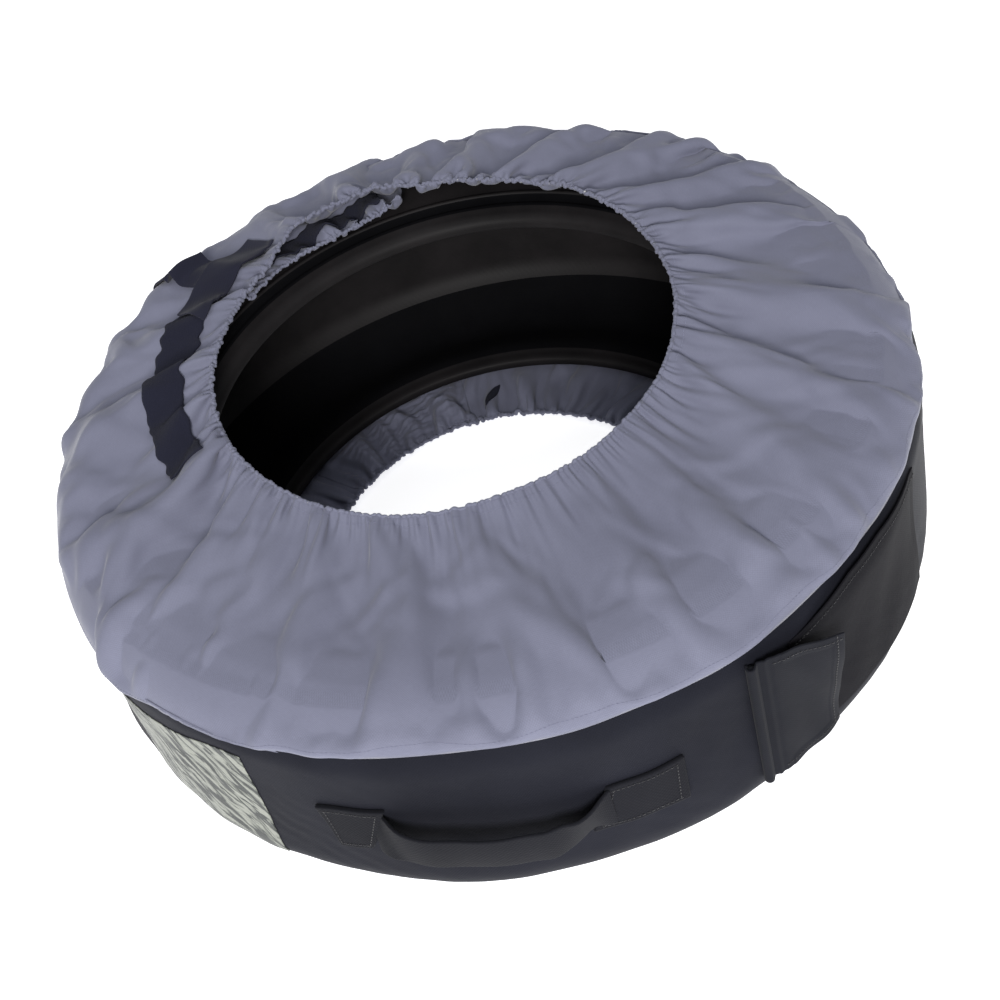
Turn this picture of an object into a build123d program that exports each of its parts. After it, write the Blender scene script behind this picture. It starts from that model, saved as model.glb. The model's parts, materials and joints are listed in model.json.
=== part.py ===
from build123d import *
import os
from math import cos, radians, sin

# A fabric wheel cover drawn over a tyre that lies on its side.
# Origin: centre of the cover's base, on the floor. +Z up. The carrying handle faces -Y.
# Angles are in degrees about +Z, counted from +X. "Lift" is a height above the sloping top panel.

# Cover
cover_radius = 328.0
cover_height = 194.0
shoulder_radius = 44.0
skin = 2.0                    # sewn fabric with its folds
seam_angle = 30.0             # place of the panel seams on the rounded shoulders

# Elastic openings of the two grey panels
hem_radius = 176.5
hem_centre = (-14.7, 32.5)
hem_height = 209.4            # height of the opening's centre
hem_slope = 0.04              # the opening rises towards rise_angle
rise_angle = 100.6
bottom_hem_radius = 153.0
bottom_hem_centre = (-5.5, -3.0)
casing_radius = 4.0           # gathered hem around the elastic cord
elastic_radius = 1.8
gap = 0.2                     # sewn neighbours lie this far apart
hair = 0.1                    # closer neighbours

# Bound seams inside the cover
binding_half_angle = 5.0
binding_thickness = 1.1

# Overlapping ends of the top panel, with the tongue underneath
notch_start = 98.0
notch_end = 130.0
notch_radius = 241.0
overlap_inner = hem_radius - 30.0   # cutting sectors start inside the opening
tongue_start = 99.5
tongue_end = 150.0
tongue_outer = cover_radius - shoulder_radius - 3.0
tongue_lift = -5.6
tongue_hem_start = 88.0       # about the opening's own centre
tongue_hem_size = 32.0
hem_joint = 0.2               # degrees left open at each end of the upper hem

# Hook-and-loop tapes
tape_thickness = 1.2
tape_width = 30.0
loop_tape_line = ((214.0, 194.6), (240.0, 160.0), (252.0, 132.5))   # radius and angle
tongue_tape_lift = -3.4
tongue_tape_radii = (220.0, 238.0)
tongue_tape_arc = (110.0, 38.0)     # start and size in degrees
lower_tape_radii = (164.0, 188.0)
lower_tape_arc = (93.0, 45.0)
lower_tape_thickness = 0.8
lower_tongue_inner = bottom_hem_radius - 20.0
lower_tongue_outer = 238.0
lower_tongue_arc = (99.5, 45.0)
lower_tongue_thickness = 1.0

# Pull tab that crosses the rim and grips the loop tape
tab_angle = 141.1
tab_width = 21.0              # degrees, along the crossbar
tab_strap_width = 8.0         # degrees
tab_inner = 233.0
tab_outer = 270.0
tab_lift = 3.0
tab_thickness = 2.0
tab_reach = 283.0             # the moving strap ends just inside its hinge
tab_overlap = 1.0             # strap and crossbar are one piece
tab_patch_thickness = 1.3
tab_patch_inset = 3.0
tab_patch_inset_angle = 1.0
anchor_top_angle = 82.0       # on the upper shoulder
anchor_bottom = 108.0

# Closing strap and flap on the side wall
strap_root_angle = -27.0
strap_end_angle = -52.4
strap_bottom = 50.0
strap_top = 162.0
strap_inner = cover_radius + 1.6
strap_root_size = 3.4         # degrees
strap_hinge_gaps = (0.3, 0.4)       # degrees of free strap on each side of its hinge
strap_tape_inset = (0.4, 4.0, 12.0)  # degrees from the end, and mm from bottom and top
strap_tape_size = 6.6         # degrees
flap_angle = -58.4
flap_bottom = 38.0
flap_top = 161.0
flap_start = 7.5              # from the piping's centre to the flap's sewn edge
flap_end = 73.0
flap_distance = 334.0         # the flat flap's inner face, from the cover's axis
flap_corner = 4.0
flap_tape_start = 34.0
flap_tape_inset = (6.0, 8.0, 14.0)  # from the free edge, the bottom and the top
side_tape_thickness = 1.0     # tapes of the strap and the flap
piping_radius = 3.7
piping_rounding = 1.5

# Carrying handle
handle_angle = -91.4
handle_axis_distance = 327.0
handle_half_span = 68.0
handle_bow = 24.0
handle_bottom = 72.0
handle_top = 112.0
webbing = 3.0
handle_end_thickness = 4.5
handle_end_overhang = (2.0, 1.0)    # below and above the loop
handle_end_gap = 0.3
left_end = (-111.7, 7.9)      # start and size in degrees
right_end = (-79.0, 10.8)
stitch_height_size = 0.6      # how far the stitching stands out
stitch_inset = 4.0
stitch_row = 1.0
stitch_edge_angles = (0.6, 1.0)     # side rows, from each end's two sides
stitch_column = 0.3
stitch_row_start = 1.2
stitch_row_cut = 2.5

# Printed patch
patch_start = -143.0
patch_size = 22.0
patch_bottom_angle = -28.0    # on the lower shoulder
patch_top = 144.0             # on the upright wall
patch_offsets = (0.15, 0.95)

# Tyre, 205/60 R16, lying unmounted
tyre_middle = 97.0
upper_bead = 74.0             # from the tyre's middle plane
lower_bead = 84.0             # the tyre's weight presses the lower bead outwards
toe_radius = 201.0
belly_radius = 262.0
crown_radius = 312.0
liner_radius = 306.0
liner_half_width = 58.0
bead_half_thickness = 5.0
bead_depth = 21.0
heel_step = 4.0               # outwards from the toe
flange_step = (15.0, 7.0)     # outwards from the toe, and from the bead's middle
belly_outer = 92.5            # from the tyre's middle plane
belly_inner = 85.5
shoulder_outer = (300.0, 83.0)
shoulder_inner = (294.0, 71.0)
belt_thickness = 1.0
belt_half_width = 66.0
tread_radius = 324.5
tread_half_width = 73.0
tread_edge = 4.0
tread_flat_half_width = 57.0
groove_places = (-40.0, -14.0, 14.0, 40.0)
groove_half_width = 4.0
groove_depth = 7.0
core_radius = 3.5
core_centre = toe_radius + 10.5
core_shift = 0.5              # outwards from the bead's middle

shoulder_centre_radius = cover_radius - shoulder_radius
shoulder_heights = (shoulder_radius, cover_height - shoulder_radius)
hem_plane = Plane(
    origin=(hem_centre[0], hem_centre[1], hem_height),
    x_dir=(1, 0, hem_slope * cos(radians(rise_angle))),
    z_dir=(-hem_slope * cos(radians(rise_angle)), -hem_slope * sin(radians(rise_angle)), 1),
)
bottom_hem_plane = Plane(origin=(*bottom_hem_centre, casing_radius + gap))


def radial_plane(angle, ring=Plane.XY):
    """Plane through a ring's axis: local x points outwards and local y along the axis."""
    outward = ring.x_dir * cos(radians(angle)) + ring.y_dir * sin(radians(angle))
    return Plane(origin=ring.origin, x_dir=outward, z_dir=outward.cross(ring.z_dir))


def tangent_plane(angle, distance):
    """Upright plane at a distance from the cover's axis: local x runs along, local y up."""
    outward = Vector(cos(radians(angle)), sin(radians(angle)), 0)
    along = Vector(-sin(radians(angle)), cos(radians(angle)), 0)
    return Plane(origin=outward * distance, x_dir=along, z_dir=outward)


def skin_point(offset, angle):
    """Point on a shoulder arc, at an offset outside the cover's surface."""
    radius = shoulder_radius + offset
    height = shoulder_heights[1] if angle >= 0 else shoulder_heights[0]
    return (
        shoulder_centre_radius + radius * cos(radians(angle)),
        height + radius * sin(radians(angle)),
    )


def skin_edge(offset, low, high):
    """Section line of the cover: lower shoulder, upright wall, upper shoulder."""
    radius = shoulder_radius + offset
    if low < 0:
        CenterArc((shoulder_centre_radius, shoulder_heights[0]), radius, low, min(high, 0) - low)
    if low < 0 < high:
        side = shoulder_centre_radius + radius
        Line((side, shoulder_heights[0]), (side, shoulder_heights[1]))
    if high > 0:
        start = max(low, 0)
        CenterArc((shoulder_centre_radius, shoulder_heights[1]), radius, start, high - start)


def skin_profile(inner, outer, low, high):
    """Closed section of a skin between two offsets and two shoulder angles."""
    with BuildLine() as outline:
        skin_edge(outer, low, high)
        skin_edge(inner, low, high)
        Line(skin_point(inner, low), skin_point(outer, low))
        Line(skin_point(inner, high), skin_point(outer, high))
    make_face(outline.edges())


def rectangle(left, right, bottom, top):
    """Rectangle from its edges."""
    with Locations(((left + right) / 2, (bottom + top) / 2)):
        Rectangle(right - left, top - bottom)


def sector(inner, outer, start, size):
    """Piece of a flat ring."""
    with BuildLine() as outline:
        near = CenterArc((0, 0), inner, start, size)
        far = CenterArc((0, 0), outer, start, size)
        Line(near @ 0, far @ 0)
        Line(near @ 1, far @ 1)
    make_face(outline.edges())


def panel_cone(lift, mode):
    """Solid under the sloping top panel, from its crest circle to its opening."""
    with BuildSketch(Plane.XY.offset(cover_height + lift)) as crest:
        Circle(shoulder_centre_radius)
    with BuildSketch(hem_plane.offset(lift)) as opening:
        Circle(hem_radius)
    loft([crest.sketch.face(), opening.sketch.face()], mode=mode)


def panel_layer(low, high):
    """Layer that follows the sloping top panel between two lifts, with its opening cut out."""
    with BuildSketch(Plane.XY.offset(cover_height + low)) as crest:
        Circle(shoulder_centre_radius)
    extrude(crest.sketch, amount=high - low)
    panel_cone(high, Mode.ADD)
    panel_cone(low, Mode.SUBTRACT)
    with BuildSketch(hem_plane) as opening:
        Circle(hem_radius + casing_radius + gap)
    extrude(opening.sketch, amount=cover_height / 2, both=True, mode=Mode.SUBTRACT)


def keep_inside_sketch():
    """Keep only what stands over the pending sketch."""
    extrude(amount=2 * cover_height, mode=Mode.INTERSECT)


def finish(piece, name):
    """Label a finished piece and write it."""
    piece.part.label = name
    export_step(piece.part, f"parts/{name}.step")


os.makedirs("parts", exist_ok=True)


# Tyre: casing with two beads, steel bead cores, belt and tread

def bead_outline(side, bead):
    """Outer and inner lines of one sidewall, from the bead toe to the crown."""
    heel = (toe_radius + heel_step, side * (bead + bead_half_thickness))
    flange = (toe_radius + flange_step[0], side * (bead + flange_step[1]))
    toe = (toe_radius, side * (bead - bead_half_thickness))
    bead_back = (toe_radius + bead_depth, side * (bead - bead_half_thickness))
    Line(toe, heel)
    Line(heel, flange)
    Spline(
        flange,
        (belly_radius, side * belly_outer),
        (shoulder_outer[0], side * shoulder_outer[1]),
        (crown_radius, side * tread_half_width),
    )
    Line(toe, bead_back)
    Spline(
        bead_back,
        (belly_radius, side * belly_inner),
        (shoulder_inner[0], side * shoulder_inner[1]),
        (liner_radius, side * liner_half_width),
    )


tyre_plane = Plane(origin=(0, 0, tyre_middle), x_dir=(1, 0, 0), z_dir=(0, -1, 0))

with BuildPart() as tyre_casing:
    with BuildSketch(tyre_plane):
        with BuildLine():
            bead_outline(1, upper_bead)
            bead_outline(-1, lower_bead)
            Line((crown_radius, tread_half_width), (crown_radius, -tread_half_width))
            Line((liner_radius, liner_half_width), (liner_radius, -liner_half_width))
        make_face()
        with Locations((core_centre, upper_bead + core_shift), (core_centre, -lower_bead - core_shift)):
            Circle(core_radius, mode=Mode.SUBTRACT)
    revolve(axis=Axis.Z)
finish(tyre_casing, "tyre_casing")

for core_name, core_height in (
    ("upper_bead_core", upper_bead + core_shift),
    ("lower_bead_core", -lower_bead - core_shift),
):
    with BuildPart() as bead_core:
        with BuildSketch(tyre_plane):
            with Locations((core_centre, core_height)):
                Circle(core_radius)
        revolve(axis=Axis.Z)
    finish(bead_core, core_name)

with BuildPart() as tyre_belt:
    with BuildSketch(tyre_plane):
        rectangle(crown_radius, crown_radius + belt_thickness, -belt_half_width, belt_half_width)
    revolve(axis=Axis.Z)
finish(tyre_belt, "tyre_belt")

with BuildPart() as tyre_tread:
    with BuildSketch(tyre_plane):
        with BuildLine():
            Polyline(
                (crown_radius, tread_half_width),
                (crown_radius + tread_edge, tread_half_width),
                (tread_radius, tread_flat_half_width),
                (tread_radius, -tread_flat_half_width),
                (crown_radius + tread_edge, -tread_half_width),
                (crown_radius, -tread_half_width),
                close=True,
            )
        make_face()
    revolve(axis=Axis.Z)
    # the belt lies in its own hollow
    with BuildSketch(tyre_plane):
        rectangle(crown_radius, crown_radius + belt_thickness, -belt_half_width, belt_half_width)
    revolve(axis=Axis.Z, mode=Mode.SUBTRACT)
    # four rain grooves
    with BuildSketch(tyre_plane):
        for groove in groove_places:
            rectangle(
                tread_radius - groove_depth, tread_radius + groove_depth,
                groove - groove_half_width, groove + groove_half_width,
            )
    revolve(axis=Axis.Z, mode=Mode.SUBTRACT)
finish(tyre_tread, "tyre_tread")


# Cover: side wall, two panels, seam bindings

with BuildPart() as side_wall:
    with BuildSketch(Plane.XZ):
        skin_profile(-skin, 0, -seam_angle, seam_angle)
    revolve(axis=Axis.Z)
finish(side_wall, "side_wall")

with BuildPart() as top_panel:
    panel_layer(-skin, 0)
    with BuildSketch(Plane.XZ):
        skin_profile(-skin, 0, seam_angle, 90)
    revolve(axis=Axis.Z)
    # the upper end of the panel has ridden back here and shows the tongue
    with BuildSketch(Plane.XY.offset(cover_height / 2)):
        sector(overlap_inner, notch_radius, notch_start, notch_end - notch_start)
    extrude(amount=cover_height, mode=Mode.SUBTRACT)
finish(top_panel, "top_panel")

with BuildPart() as bottom_panel:
    with BuildSketch(Plane.XZ):
        skin_profile(-skin, 0, -90, -seam_angle)
    revolve(axis=Axis.Z)
    with BuildSketch(Plane.XY):
        Circle(shoulder_centre_radius)
        with Locations(bottom_hem_centre):
            Circle(bottom_hem_radius + casing_radius + gap, mode=Mode.SUBTRACT)
    extrude(amount=skin)
finish(bottom_panel, "bottom_panel")

for binding_name, low_angle in (
    ("upper_seam_binding", seam_angle - binding_half_angle),
    ("lower_seam_binding", -seam_angle - binding_half_angle),
):
    with BuildPart() as binding:
        with BuildSketch(Plane.XZ):
            skin_profile(
                -skin - hair - binding_thickness, -skin - hair,
                low_angle, low_angle + 2 * binding_half_angle,
            )
        revolve(axis=Axis.Z)
    finish(binding, binding_name)


# Elastic hems

def hem_casing(ring, radius, start, size):
    """Length of gathered hem around the elastic cord's channel."""
    with BuildSketch(radial_plane(start, ring)) as section:
        with Locations((radius, 0)):
            Circle(casing_radius)
            Circle(elastic_radius + hair, mode=Mode.SUBTRACT)
    revolve(section.sketch, axis=Axis(ring.origin, ring.z_dir), revolution_arc=size)


def elastic_cord(ring, radius):
    """Closed elastic cord."""
    with BuildSketch(radial_plane(0, ring)) as section:
        with Locations((radius, 0)):
            Circle(elastic_radius)
    revolve(section.sketch, axis=Axis(ring.origin, ring.z_dir))


with BuildPart() as top_hem:
    hem_casing(
        hem_plane, hem_radius,
        tongue_hem_start + tongue_hem_size + hem_joint, 360 - 2 * hem_joint - tongue_hem_size,
    )
finish(top_hem, "top_hem")

with BuildPart() as tongue_hem:
    hem_casing(hem_plane, hem_radius, tongue_hem_start, tongue_hem_size)
finish(tongue_hem, "tongue_hem")

with BuildPart() as top_elastic:
    elastic_cord(hem_plane, hem_radius)
finish(top_elastic, "top_elastic")

with BuildPart() as bottom_hem:
    hem_casing(bottom_hem_plane, bottom_hem_radius, 0, 360)
finish(bottom_hem, "bottom_hem")

with BuildPart() as bottom_elastic:
    elastic_cord(bottom_hem_plane, bottom_hem_radius)
finish(bottom_elastic, "bottom_elastic")


# Overlapping panel ends and their tapes

with BuildPart() as panel_tongue:
    panel_layer(tongue_lift, tongue_lift + skin)
    with BuildSketch(Plane.XY):
        sector(overlap_inner, tongue_outer, tongue_start, tongue_end - tongue_start)
    keep_inside_sketch()
finish(panel_tongue, "panel_tongue")

with BuildPart() as tongue_tape:
    panel_layer(tongue_tape_lift, tongue_tape_lift + tape_thickness)
    with BuildSketch(Plane.XY):
        sector(*tongue_tape_radii, *tongue_tape_arc)
    keep_inside_sketch()
finish(tongue_tape, "tongue_tape")

with BuildPart() as upper_loop_tape:
    panel_layer(gap, gap + tape_thickness)
    with BuildSketch(Plane.XY):
        with BuildLine():
            ThreePointArc([Vector(radius, 0).rotate(Axis.Z, angle) for radius, angle in loop_tape_line])
        trace(line_width=tape_width)
    keep_inside_sketch()
finish(upper_loop_tape, "upper_loop_tape")

with BuildPart() as lower_tape:
    with BuildSketch(Plane.XY.offset(skin + hair)):
        sector(*lower_tape_radii, *lower_tape_arc)
    extrude(amount=lower_tape_thickness)
finish(lower_tape, "lower_tape")

with BuildPart() as lower_tongue:
    with BuildSketch(Plane.XY.offset(skin + 2 * hair + lower_tape_thickness)):
        sector(lower_tongue_inner, lower_tongue_outer, *lower_tongue_arc)
        with Locations(bottom_hem_centre):
            Circle(bottom_hem_radius + casing_radius + gap, mode=Mode.SUBTRACT)
    extrude(amount=lower_tongue_thickness)
finish(lower_tongue, "lower_tongue")


# Pull tab: anchored on the side wall, over the rim, crossbar on the loop tape

anchor_start = tab_angle - tab_strap_width / 2
with BuildPart() as tab_anchor:
    with BuildSketch(radial_plane(anchor_start)):
        skin_profile(gap, gap + tab_thickness, 0, anchor_top_angle)
        rectangle(
            cover_radius + gap, cover_radius + gap + tab_thickness,
            anchor_bottom, shoulder_heights[1],
        )
    revolve(axis=Axis.Z, revolution_arc=tab_strap_width)
finish(tab_anchor, "tab_anchor")

with BuildPart() as pull_tab:
    panel_layer(tab_lift, tab_lift + tab_thickness)
    with BuildSketch(Plane.XY):
        sector(tab_inner, tab_outer, tab_angle - tab_width / 2, tab_width)
        sector(tab_outer - tab_overlap, tab_reach, anchor_start, tab_strap_width)
    keep_inside_sketch()
finish(pull_tab, "pull_tab")

with BuildPart() as tab_hook_patch:
    panel_layer(tab_lift - tab_patch_thickness, tab_lift)
    with BuildSketch(Plane.XY):
        sector(
            tab_inner + tab_patch_inset, tab_outer - tab_patch_inset,
            tab_angle - tab_width / 2 + tab_patch_inset_angle, tab_width - 2 * tab_patch_inset_angle,
        )
    keep_inside_sketch()
finish(tab_hook_patch, "tab_hook_patch")


# Closing strap and flap

def wall_band(start, size, inner, thickness, bottom, top):
    """Upright curved band outside the wall."""
    with BuildSketch(radial_plane(start)) as section:
        rectangle(inner, inner + thickness, bottom, top)
    revolve(section.sketch, axis=Axis.Z, revolution_arc=size)


with BuildPart() as strap_root:
    wall_band(
        strap_root_angle + strap_hinge_gaps[1], strap_root_size,
        cover_radius + hair, skin, strap_bottom, strap_top,
    )
finish(strap_root, "strap_root")

with BuildPart() as closing_strap:
    strap_size = strap_root_angle - strap_hinge_gaps[0] - strap_end_angle
    wall_band(strap_end_angle, strap_size, strap_inner, skin, strap_bottom, strap_top)
finish(closing_strap, "closing_strap")

with BuildPart() as strap_loop_tape:
    wall_band(
        strap_end_angle + strap_tape_inset[0], strap_tape_size, strap_inner + skin, side_tape_thickness,
        strap_bottom + strap_tape_inset[1], strap_top - strap_tape_inset[2],
    )
finish(strap_loop_tape, "strap_loop_tape")

with BuildPart() as flap_piping:
    outward = Vector(cos(radians(flap_angle)), sin(radians(flap_angle)), 0)
    piping_distance = cover_radius + piping_radius + gap
    with BuildSketch(Plane(origin=outward * piping_distance + Vector(0, 0, flap_bottom))):
        Circle(piping_radius)
    extrude(amount=flap_top - flap_bottom)
    fillet(flap_piping.edges().filter_by(GeomType.CIRCLE), radius=piping_rounding)
finish(flap_piping, "flap_piping")

with BuildPart() as closing_flap:
    with BuildSketch(tangent_plane(flap_angle, flap_distance)):
        rectangle(flap_start, flap_end, flap_bottom, flap_top)
    extrude(amount=skin)
    fillet(closing_flap.edges().filter_by(Axis((0, 0, 0), outward)), radius=flap_corner)
finish(closing_flap, "closing_flap")

with BuildPart() as flap_hook_tape:
    with BuildSketch(tangent_plane(flap_angle, flap_distance - side_tape_thickness)):
        rectangle(
            flap_tape_start, flap_end - flap_tape_inset[0],
            flap_bottom + flap_tape_inset[1], flap_top - flap_tape_inset[2],
        )
    extrude(amount=side_tape_thickness)
finish(flap_hook_tape, "flap_hook_tape")


# Carrying handle: two folded sewn ends and a slack loop of webbing

handle_plane = tangent_plane(handle_angle, handle_axis_distance)
loop_plane = Plane(
    origin=handle_plane.origin + Vector(0, 0, handle_bottom),
    x_dir=handle_plane.x_dir,
    z_dir=(0, 0, 1),
)
with BuildPart() as carry_handle:
    with BuildSketch(loop_plane):
        with BuildLine():
            # outwards is local -y
            ThreePointArc(
                (-handle_half_span, 0),
                (0, -handle_bow),
                (handle_half_span, 0),
            )
        trace(line_width=webbing)
    extrude(amount=handle_top - handle_bottom)
finish(carry_handle, "carry_handle")

for end_name, (end_start, end_size) in (
    ("handle_end_left", left_end),
    ("handle_end_right", right_end),
):
    with BuildPart() as handle_end:
        wall_band(
            end_start, end_size, cover_radius + handle_end_gap, handle_end_thickness,
            handle_bottom - handle_end_overhang[0], handle_top + handle_end_overhang[1],
        )
    finish(handle_end, end_name)

stitch_radius = cover_radius + handle_end_gap + handle_end_thickness
with BuildPart() as handle_stitching:
    for end_start, end_size in (left_end, right_end):
        end_stop = end_start + end_size
        for stitch_start in (end_start + stitch_edge_angles[0], end_stop - stitch_edge_angles[1]):
            wall_band(
                stitch_start, stitch_column, stitch_radius, stitch_height_size,
                handle_bottom + stitch_inset, handle_top - stitch_inset,
            )
        for stitch_bottom in (handle_bottom + stitch_inset, handle_top - stitch_inset - stitch_row):
            wall_band(
                end_start + stitch_row_start, end_size - stitch_row_cut,
                stitch_radius, stitch_height_size, stitch_bottom, stitch_bottom + stitch_row,
            )
finish(handle_stitching, "handle_stitching")


# Printed patch on the side wall

with BuildPart() as pattern_patch:
    with BuildSketch(radial_plane(patch_start)):
        skin_profile(*patch_offsets, patch_bottom_angle, seam_angle)
    revolve(axis=Axis.Z, revolution_arc=patch_size)
    split(bisect_by=Plane.XY.offset(patch_top), keep=Keep.BOTTOM)
finish(pattern_patch, "pattern_patch")
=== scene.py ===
import json
from math import cos, pi, radians, sin

import bmesh
import bpy
import numpy as np
from mathutils import Matrix, Vector
from mathutils.bvhtree import BVHTree


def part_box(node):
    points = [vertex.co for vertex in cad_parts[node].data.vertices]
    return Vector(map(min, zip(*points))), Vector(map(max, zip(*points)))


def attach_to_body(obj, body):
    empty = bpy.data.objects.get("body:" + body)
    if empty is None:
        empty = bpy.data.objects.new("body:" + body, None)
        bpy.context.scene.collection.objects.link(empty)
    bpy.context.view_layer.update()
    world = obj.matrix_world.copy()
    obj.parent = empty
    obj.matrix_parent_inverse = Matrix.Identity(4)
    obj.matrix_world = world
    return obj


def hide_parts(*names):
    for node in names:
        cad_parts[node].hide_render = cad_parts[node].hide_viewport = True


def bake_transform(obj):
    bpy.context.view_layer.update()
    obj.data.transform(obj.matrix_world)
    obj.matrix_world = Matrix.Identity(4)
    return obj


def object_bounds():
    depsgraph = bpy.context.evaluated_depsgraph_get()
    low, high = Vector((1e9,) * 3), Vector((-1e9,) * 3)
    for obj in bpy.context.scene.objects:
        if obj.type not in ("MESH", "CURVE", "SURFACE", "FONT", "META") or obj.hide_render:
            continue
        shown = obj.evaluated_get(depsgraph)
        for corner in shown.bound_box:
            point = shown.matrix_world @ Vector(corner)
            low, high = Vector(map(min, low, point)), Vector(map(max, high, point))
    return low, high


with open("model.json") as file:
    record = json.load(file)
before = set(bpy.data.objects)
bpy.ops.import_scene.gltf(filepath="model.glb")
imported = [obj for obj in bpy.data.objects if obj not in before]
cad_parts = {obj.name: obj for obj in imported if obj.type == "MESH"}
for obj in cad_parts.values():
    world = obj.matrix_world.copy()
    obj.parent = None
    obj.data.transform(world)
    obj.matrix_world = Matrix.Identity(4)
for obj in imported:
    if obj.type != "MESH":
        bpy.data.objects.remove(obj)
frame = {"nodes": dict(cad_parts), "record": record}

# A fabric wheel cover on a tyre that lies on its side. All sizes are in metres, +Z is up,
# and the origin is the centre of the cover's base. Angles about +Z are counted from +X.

CAD_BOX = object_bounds()
REACH = 0.08  # how far laid pieces look for what they lie on

# ---------------- sizes, from the frame

wall_low, wall_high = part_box("side_wall")
COVER_RADIUS = wall_high[0]
COVER_HEIGHT = wall_low[2] + wall_high[2]
SHOULDER = 0.044
SEAM_ANGLE = radians(30)
SHOULDER_CENTRE = COVER_RADIUS - SHOULDER
WALL_HALF = COVER_HEIGHT / 2 - SHOULDER  # upright part, each way from the wall's middle
SEAM_PLACE = WALL_HALF + SHOULDER * SEAM_ANGLE # lengths along the skin from the wall's middle
CREST_PLACE = WALL_HALF + SHOULDER * pi / 2

elastic_low, elastic_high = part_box("top_elastic")
ELASTIC_THICK = 0.0018
HEM_RADIUS = (elastic_high[0] - elastic_low[0]) / 2 - ELASTIC_THICK
HEM_CENTRE = [(low + high) / 2 for low, high in zip(elastic_low, elastic_high)]
RISE_ANGLE = radians(100.6)
HEM_SLOPE = 0.04
low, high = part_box("bottom_elastic")
BOTTOM_HEM_RADIUS = (high[0] - low[0]) / 2 - ELASTIC_THICK
BOTTOM_HEM_CENTRE = [(a + b) / 2 for a, b in zip(low, high)]

HANDLE_ANGLE = radians(-91.4)
FLAP_ANGLE = radians(-58.4)
TAB_ANGLE = radians(141.1)
FAR_SIDE = radians(115)  # where the top panel is slackest


# ---------------- node materials

class Shader:
    """Builds one node material. Every call adds a node and returns its main output."""

    def __init__(self, name):
        self.material = bpy.data.materials.new(name)
        self.material.use_nodes = True
        self.tree = self.material.node_tree
        self.tree.nodes.clear()

    def plug(self, socket, value):
        if isinstance(value, bpy.types.NodeSocket):
            self.tree.links.new(value, socket)
        elif socket.type == "RGBA":
            socket.default_value = (*value, 1)
        else:
            socket.default_value = value

    def node(self, kind, inputs=None, **settings):
        made = self.tree.nodes.new(kind)
        for key, value in settings.items():
            setattr(made, key, value)
        for key, value in (inputs or {}).items():
            self.plug(made.inputs[key], value)
        return made

    def math(self, operation, *values):
        return self.node("ShaderNodeMath", dict(enumerate(values)), operation=operation).outputs[0]

    def noise(self, place, scale, detail=4.0, rough=0.6, distortion=0.0):
        inputs = {"Vector": place, "Scale": scale, "Detail": detail, "Roughness": rough,
                  "Distortion": distortion}
        return self.node("ShaderNodeTexNoise", inputs).outputs[0]

    def object_place(self):
        return self.node("ShaderNodeTexCoord").outputs["Object"]

    def flat_place(self):
        return self.node("ShaderNodeTexCoord").outputs["UV"]

    def ramp(self, value, stops):
        made = self.node("ShaderNodeValToRGB", {"Fac": value})
        ramp = made.color_ramp
        while len(ramp.elements) < len(stops):
            ramp.elements.new(0.5)
        for element, (place, colour) in zip(ramp.elements, stops):
            element.position = place
            element.color = (*colour, 1)
        return made.outputs[0]

    def mix(self, amount, first, second, blend="MIX"):
        inputs = {0: amount, 6: first, 7: second}
        return self.node("ShaderNodeMix", inputs, data_type="RGBA", blend_type=blend).outputs[2]

    def bump(self, height, strength, distance, under=None):
        inputs = {"Height": height, "Strength": strength, "Distance": distance}
        if under is not None:
            inputs["Normal"] = under
        return self.node("ShaderNodeBump", inputs).outputs[0]

    def finish(self, **inputs):
        names = {"colour": "Base Color", "rough": "Roughness", "normal": "Normal",
                 "sheen": "Sheen Weight", "sheen_rough": "Sheen Roughness",
                 "metal": "Metallic", "specular": "Specular IOR Level",
                 "glow": "Emission Color", "glow_strength": "Emission Strength"}
        named = {names[key]: value for key, value in inputs.items()}
        principled = self.node("ShaderNodeBsdfPrincipled", named)
        self.node("ShaderNodeOutputMaterial", {"Surface": principled.outputs[0]})
        return self.material


def plain_weave(shader, pitch):
    """Height of a plain weave: threads that pass over and under each other."""
    split = shader.node("ShaderNodeSeparateXYZ", {"Vector": shader.flat_place()})
    waves = [shader.math("SINE", shader.math("MULTIPLY", split.outputs[axis], pi / pitch)) for axis in (0, 1)]
    product = shader.math("MULTIPLY", *waves)
    return shader.math("MULTIPLY_ADD", product, 0.5, 0.5)


def woven_cloth(name, dark, light, pitch, rough, sheen, depth):
    """Thin woven cloth with uneven threads, soft mottling and handling marks."""
    shader = Shader(name)
    place = shader.object_place()
    weave = plain_weave(shader, pitch)
    stretched = shader.node("ShaderNodeMapping", {"Vector": shader.flat_place(), "Scale": (1, 14, 1)})
    slubs = shader.noise(stretched.outputs[0], 260, 3)
    clouds = shader.noise(place, 9, 5, 0.55)
    fibres = shader.noise(place, 1400, 2)
    base = shader.ramp(clouds, [(0.32, dark), (0.68, light)])
    threads = shader.math("MULTIPLY_ADD", weave, 0.35, shader.math("MULTIPLY", slubs, 0.65))
    shade = shader.ramp(threads, [(0.25, (0.86, 0.86, 0.86)), (0.75, (1.09, 1.09, 1.09))])
    tinted = shader.mix(1, base, shade, "MULTIPLY")
    soft = shader.bump(shader.noise(place, 60, 4), 0.25, 0.0012)
    normal = shader.bump(weave, depth, 0.0003, soft)
    normal = shader.bump(fibres, 0.15, 0.0002, normal)
    roughness = shader.math("MULTIPLY_ADD", clouds, 0.16, rough - 0.08)
    return shader.finish(colour=tinted, rough=roughness, normal=normal, sheen=sheen,
                         sheen_rough=0.45, specular=0.08)


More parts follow.
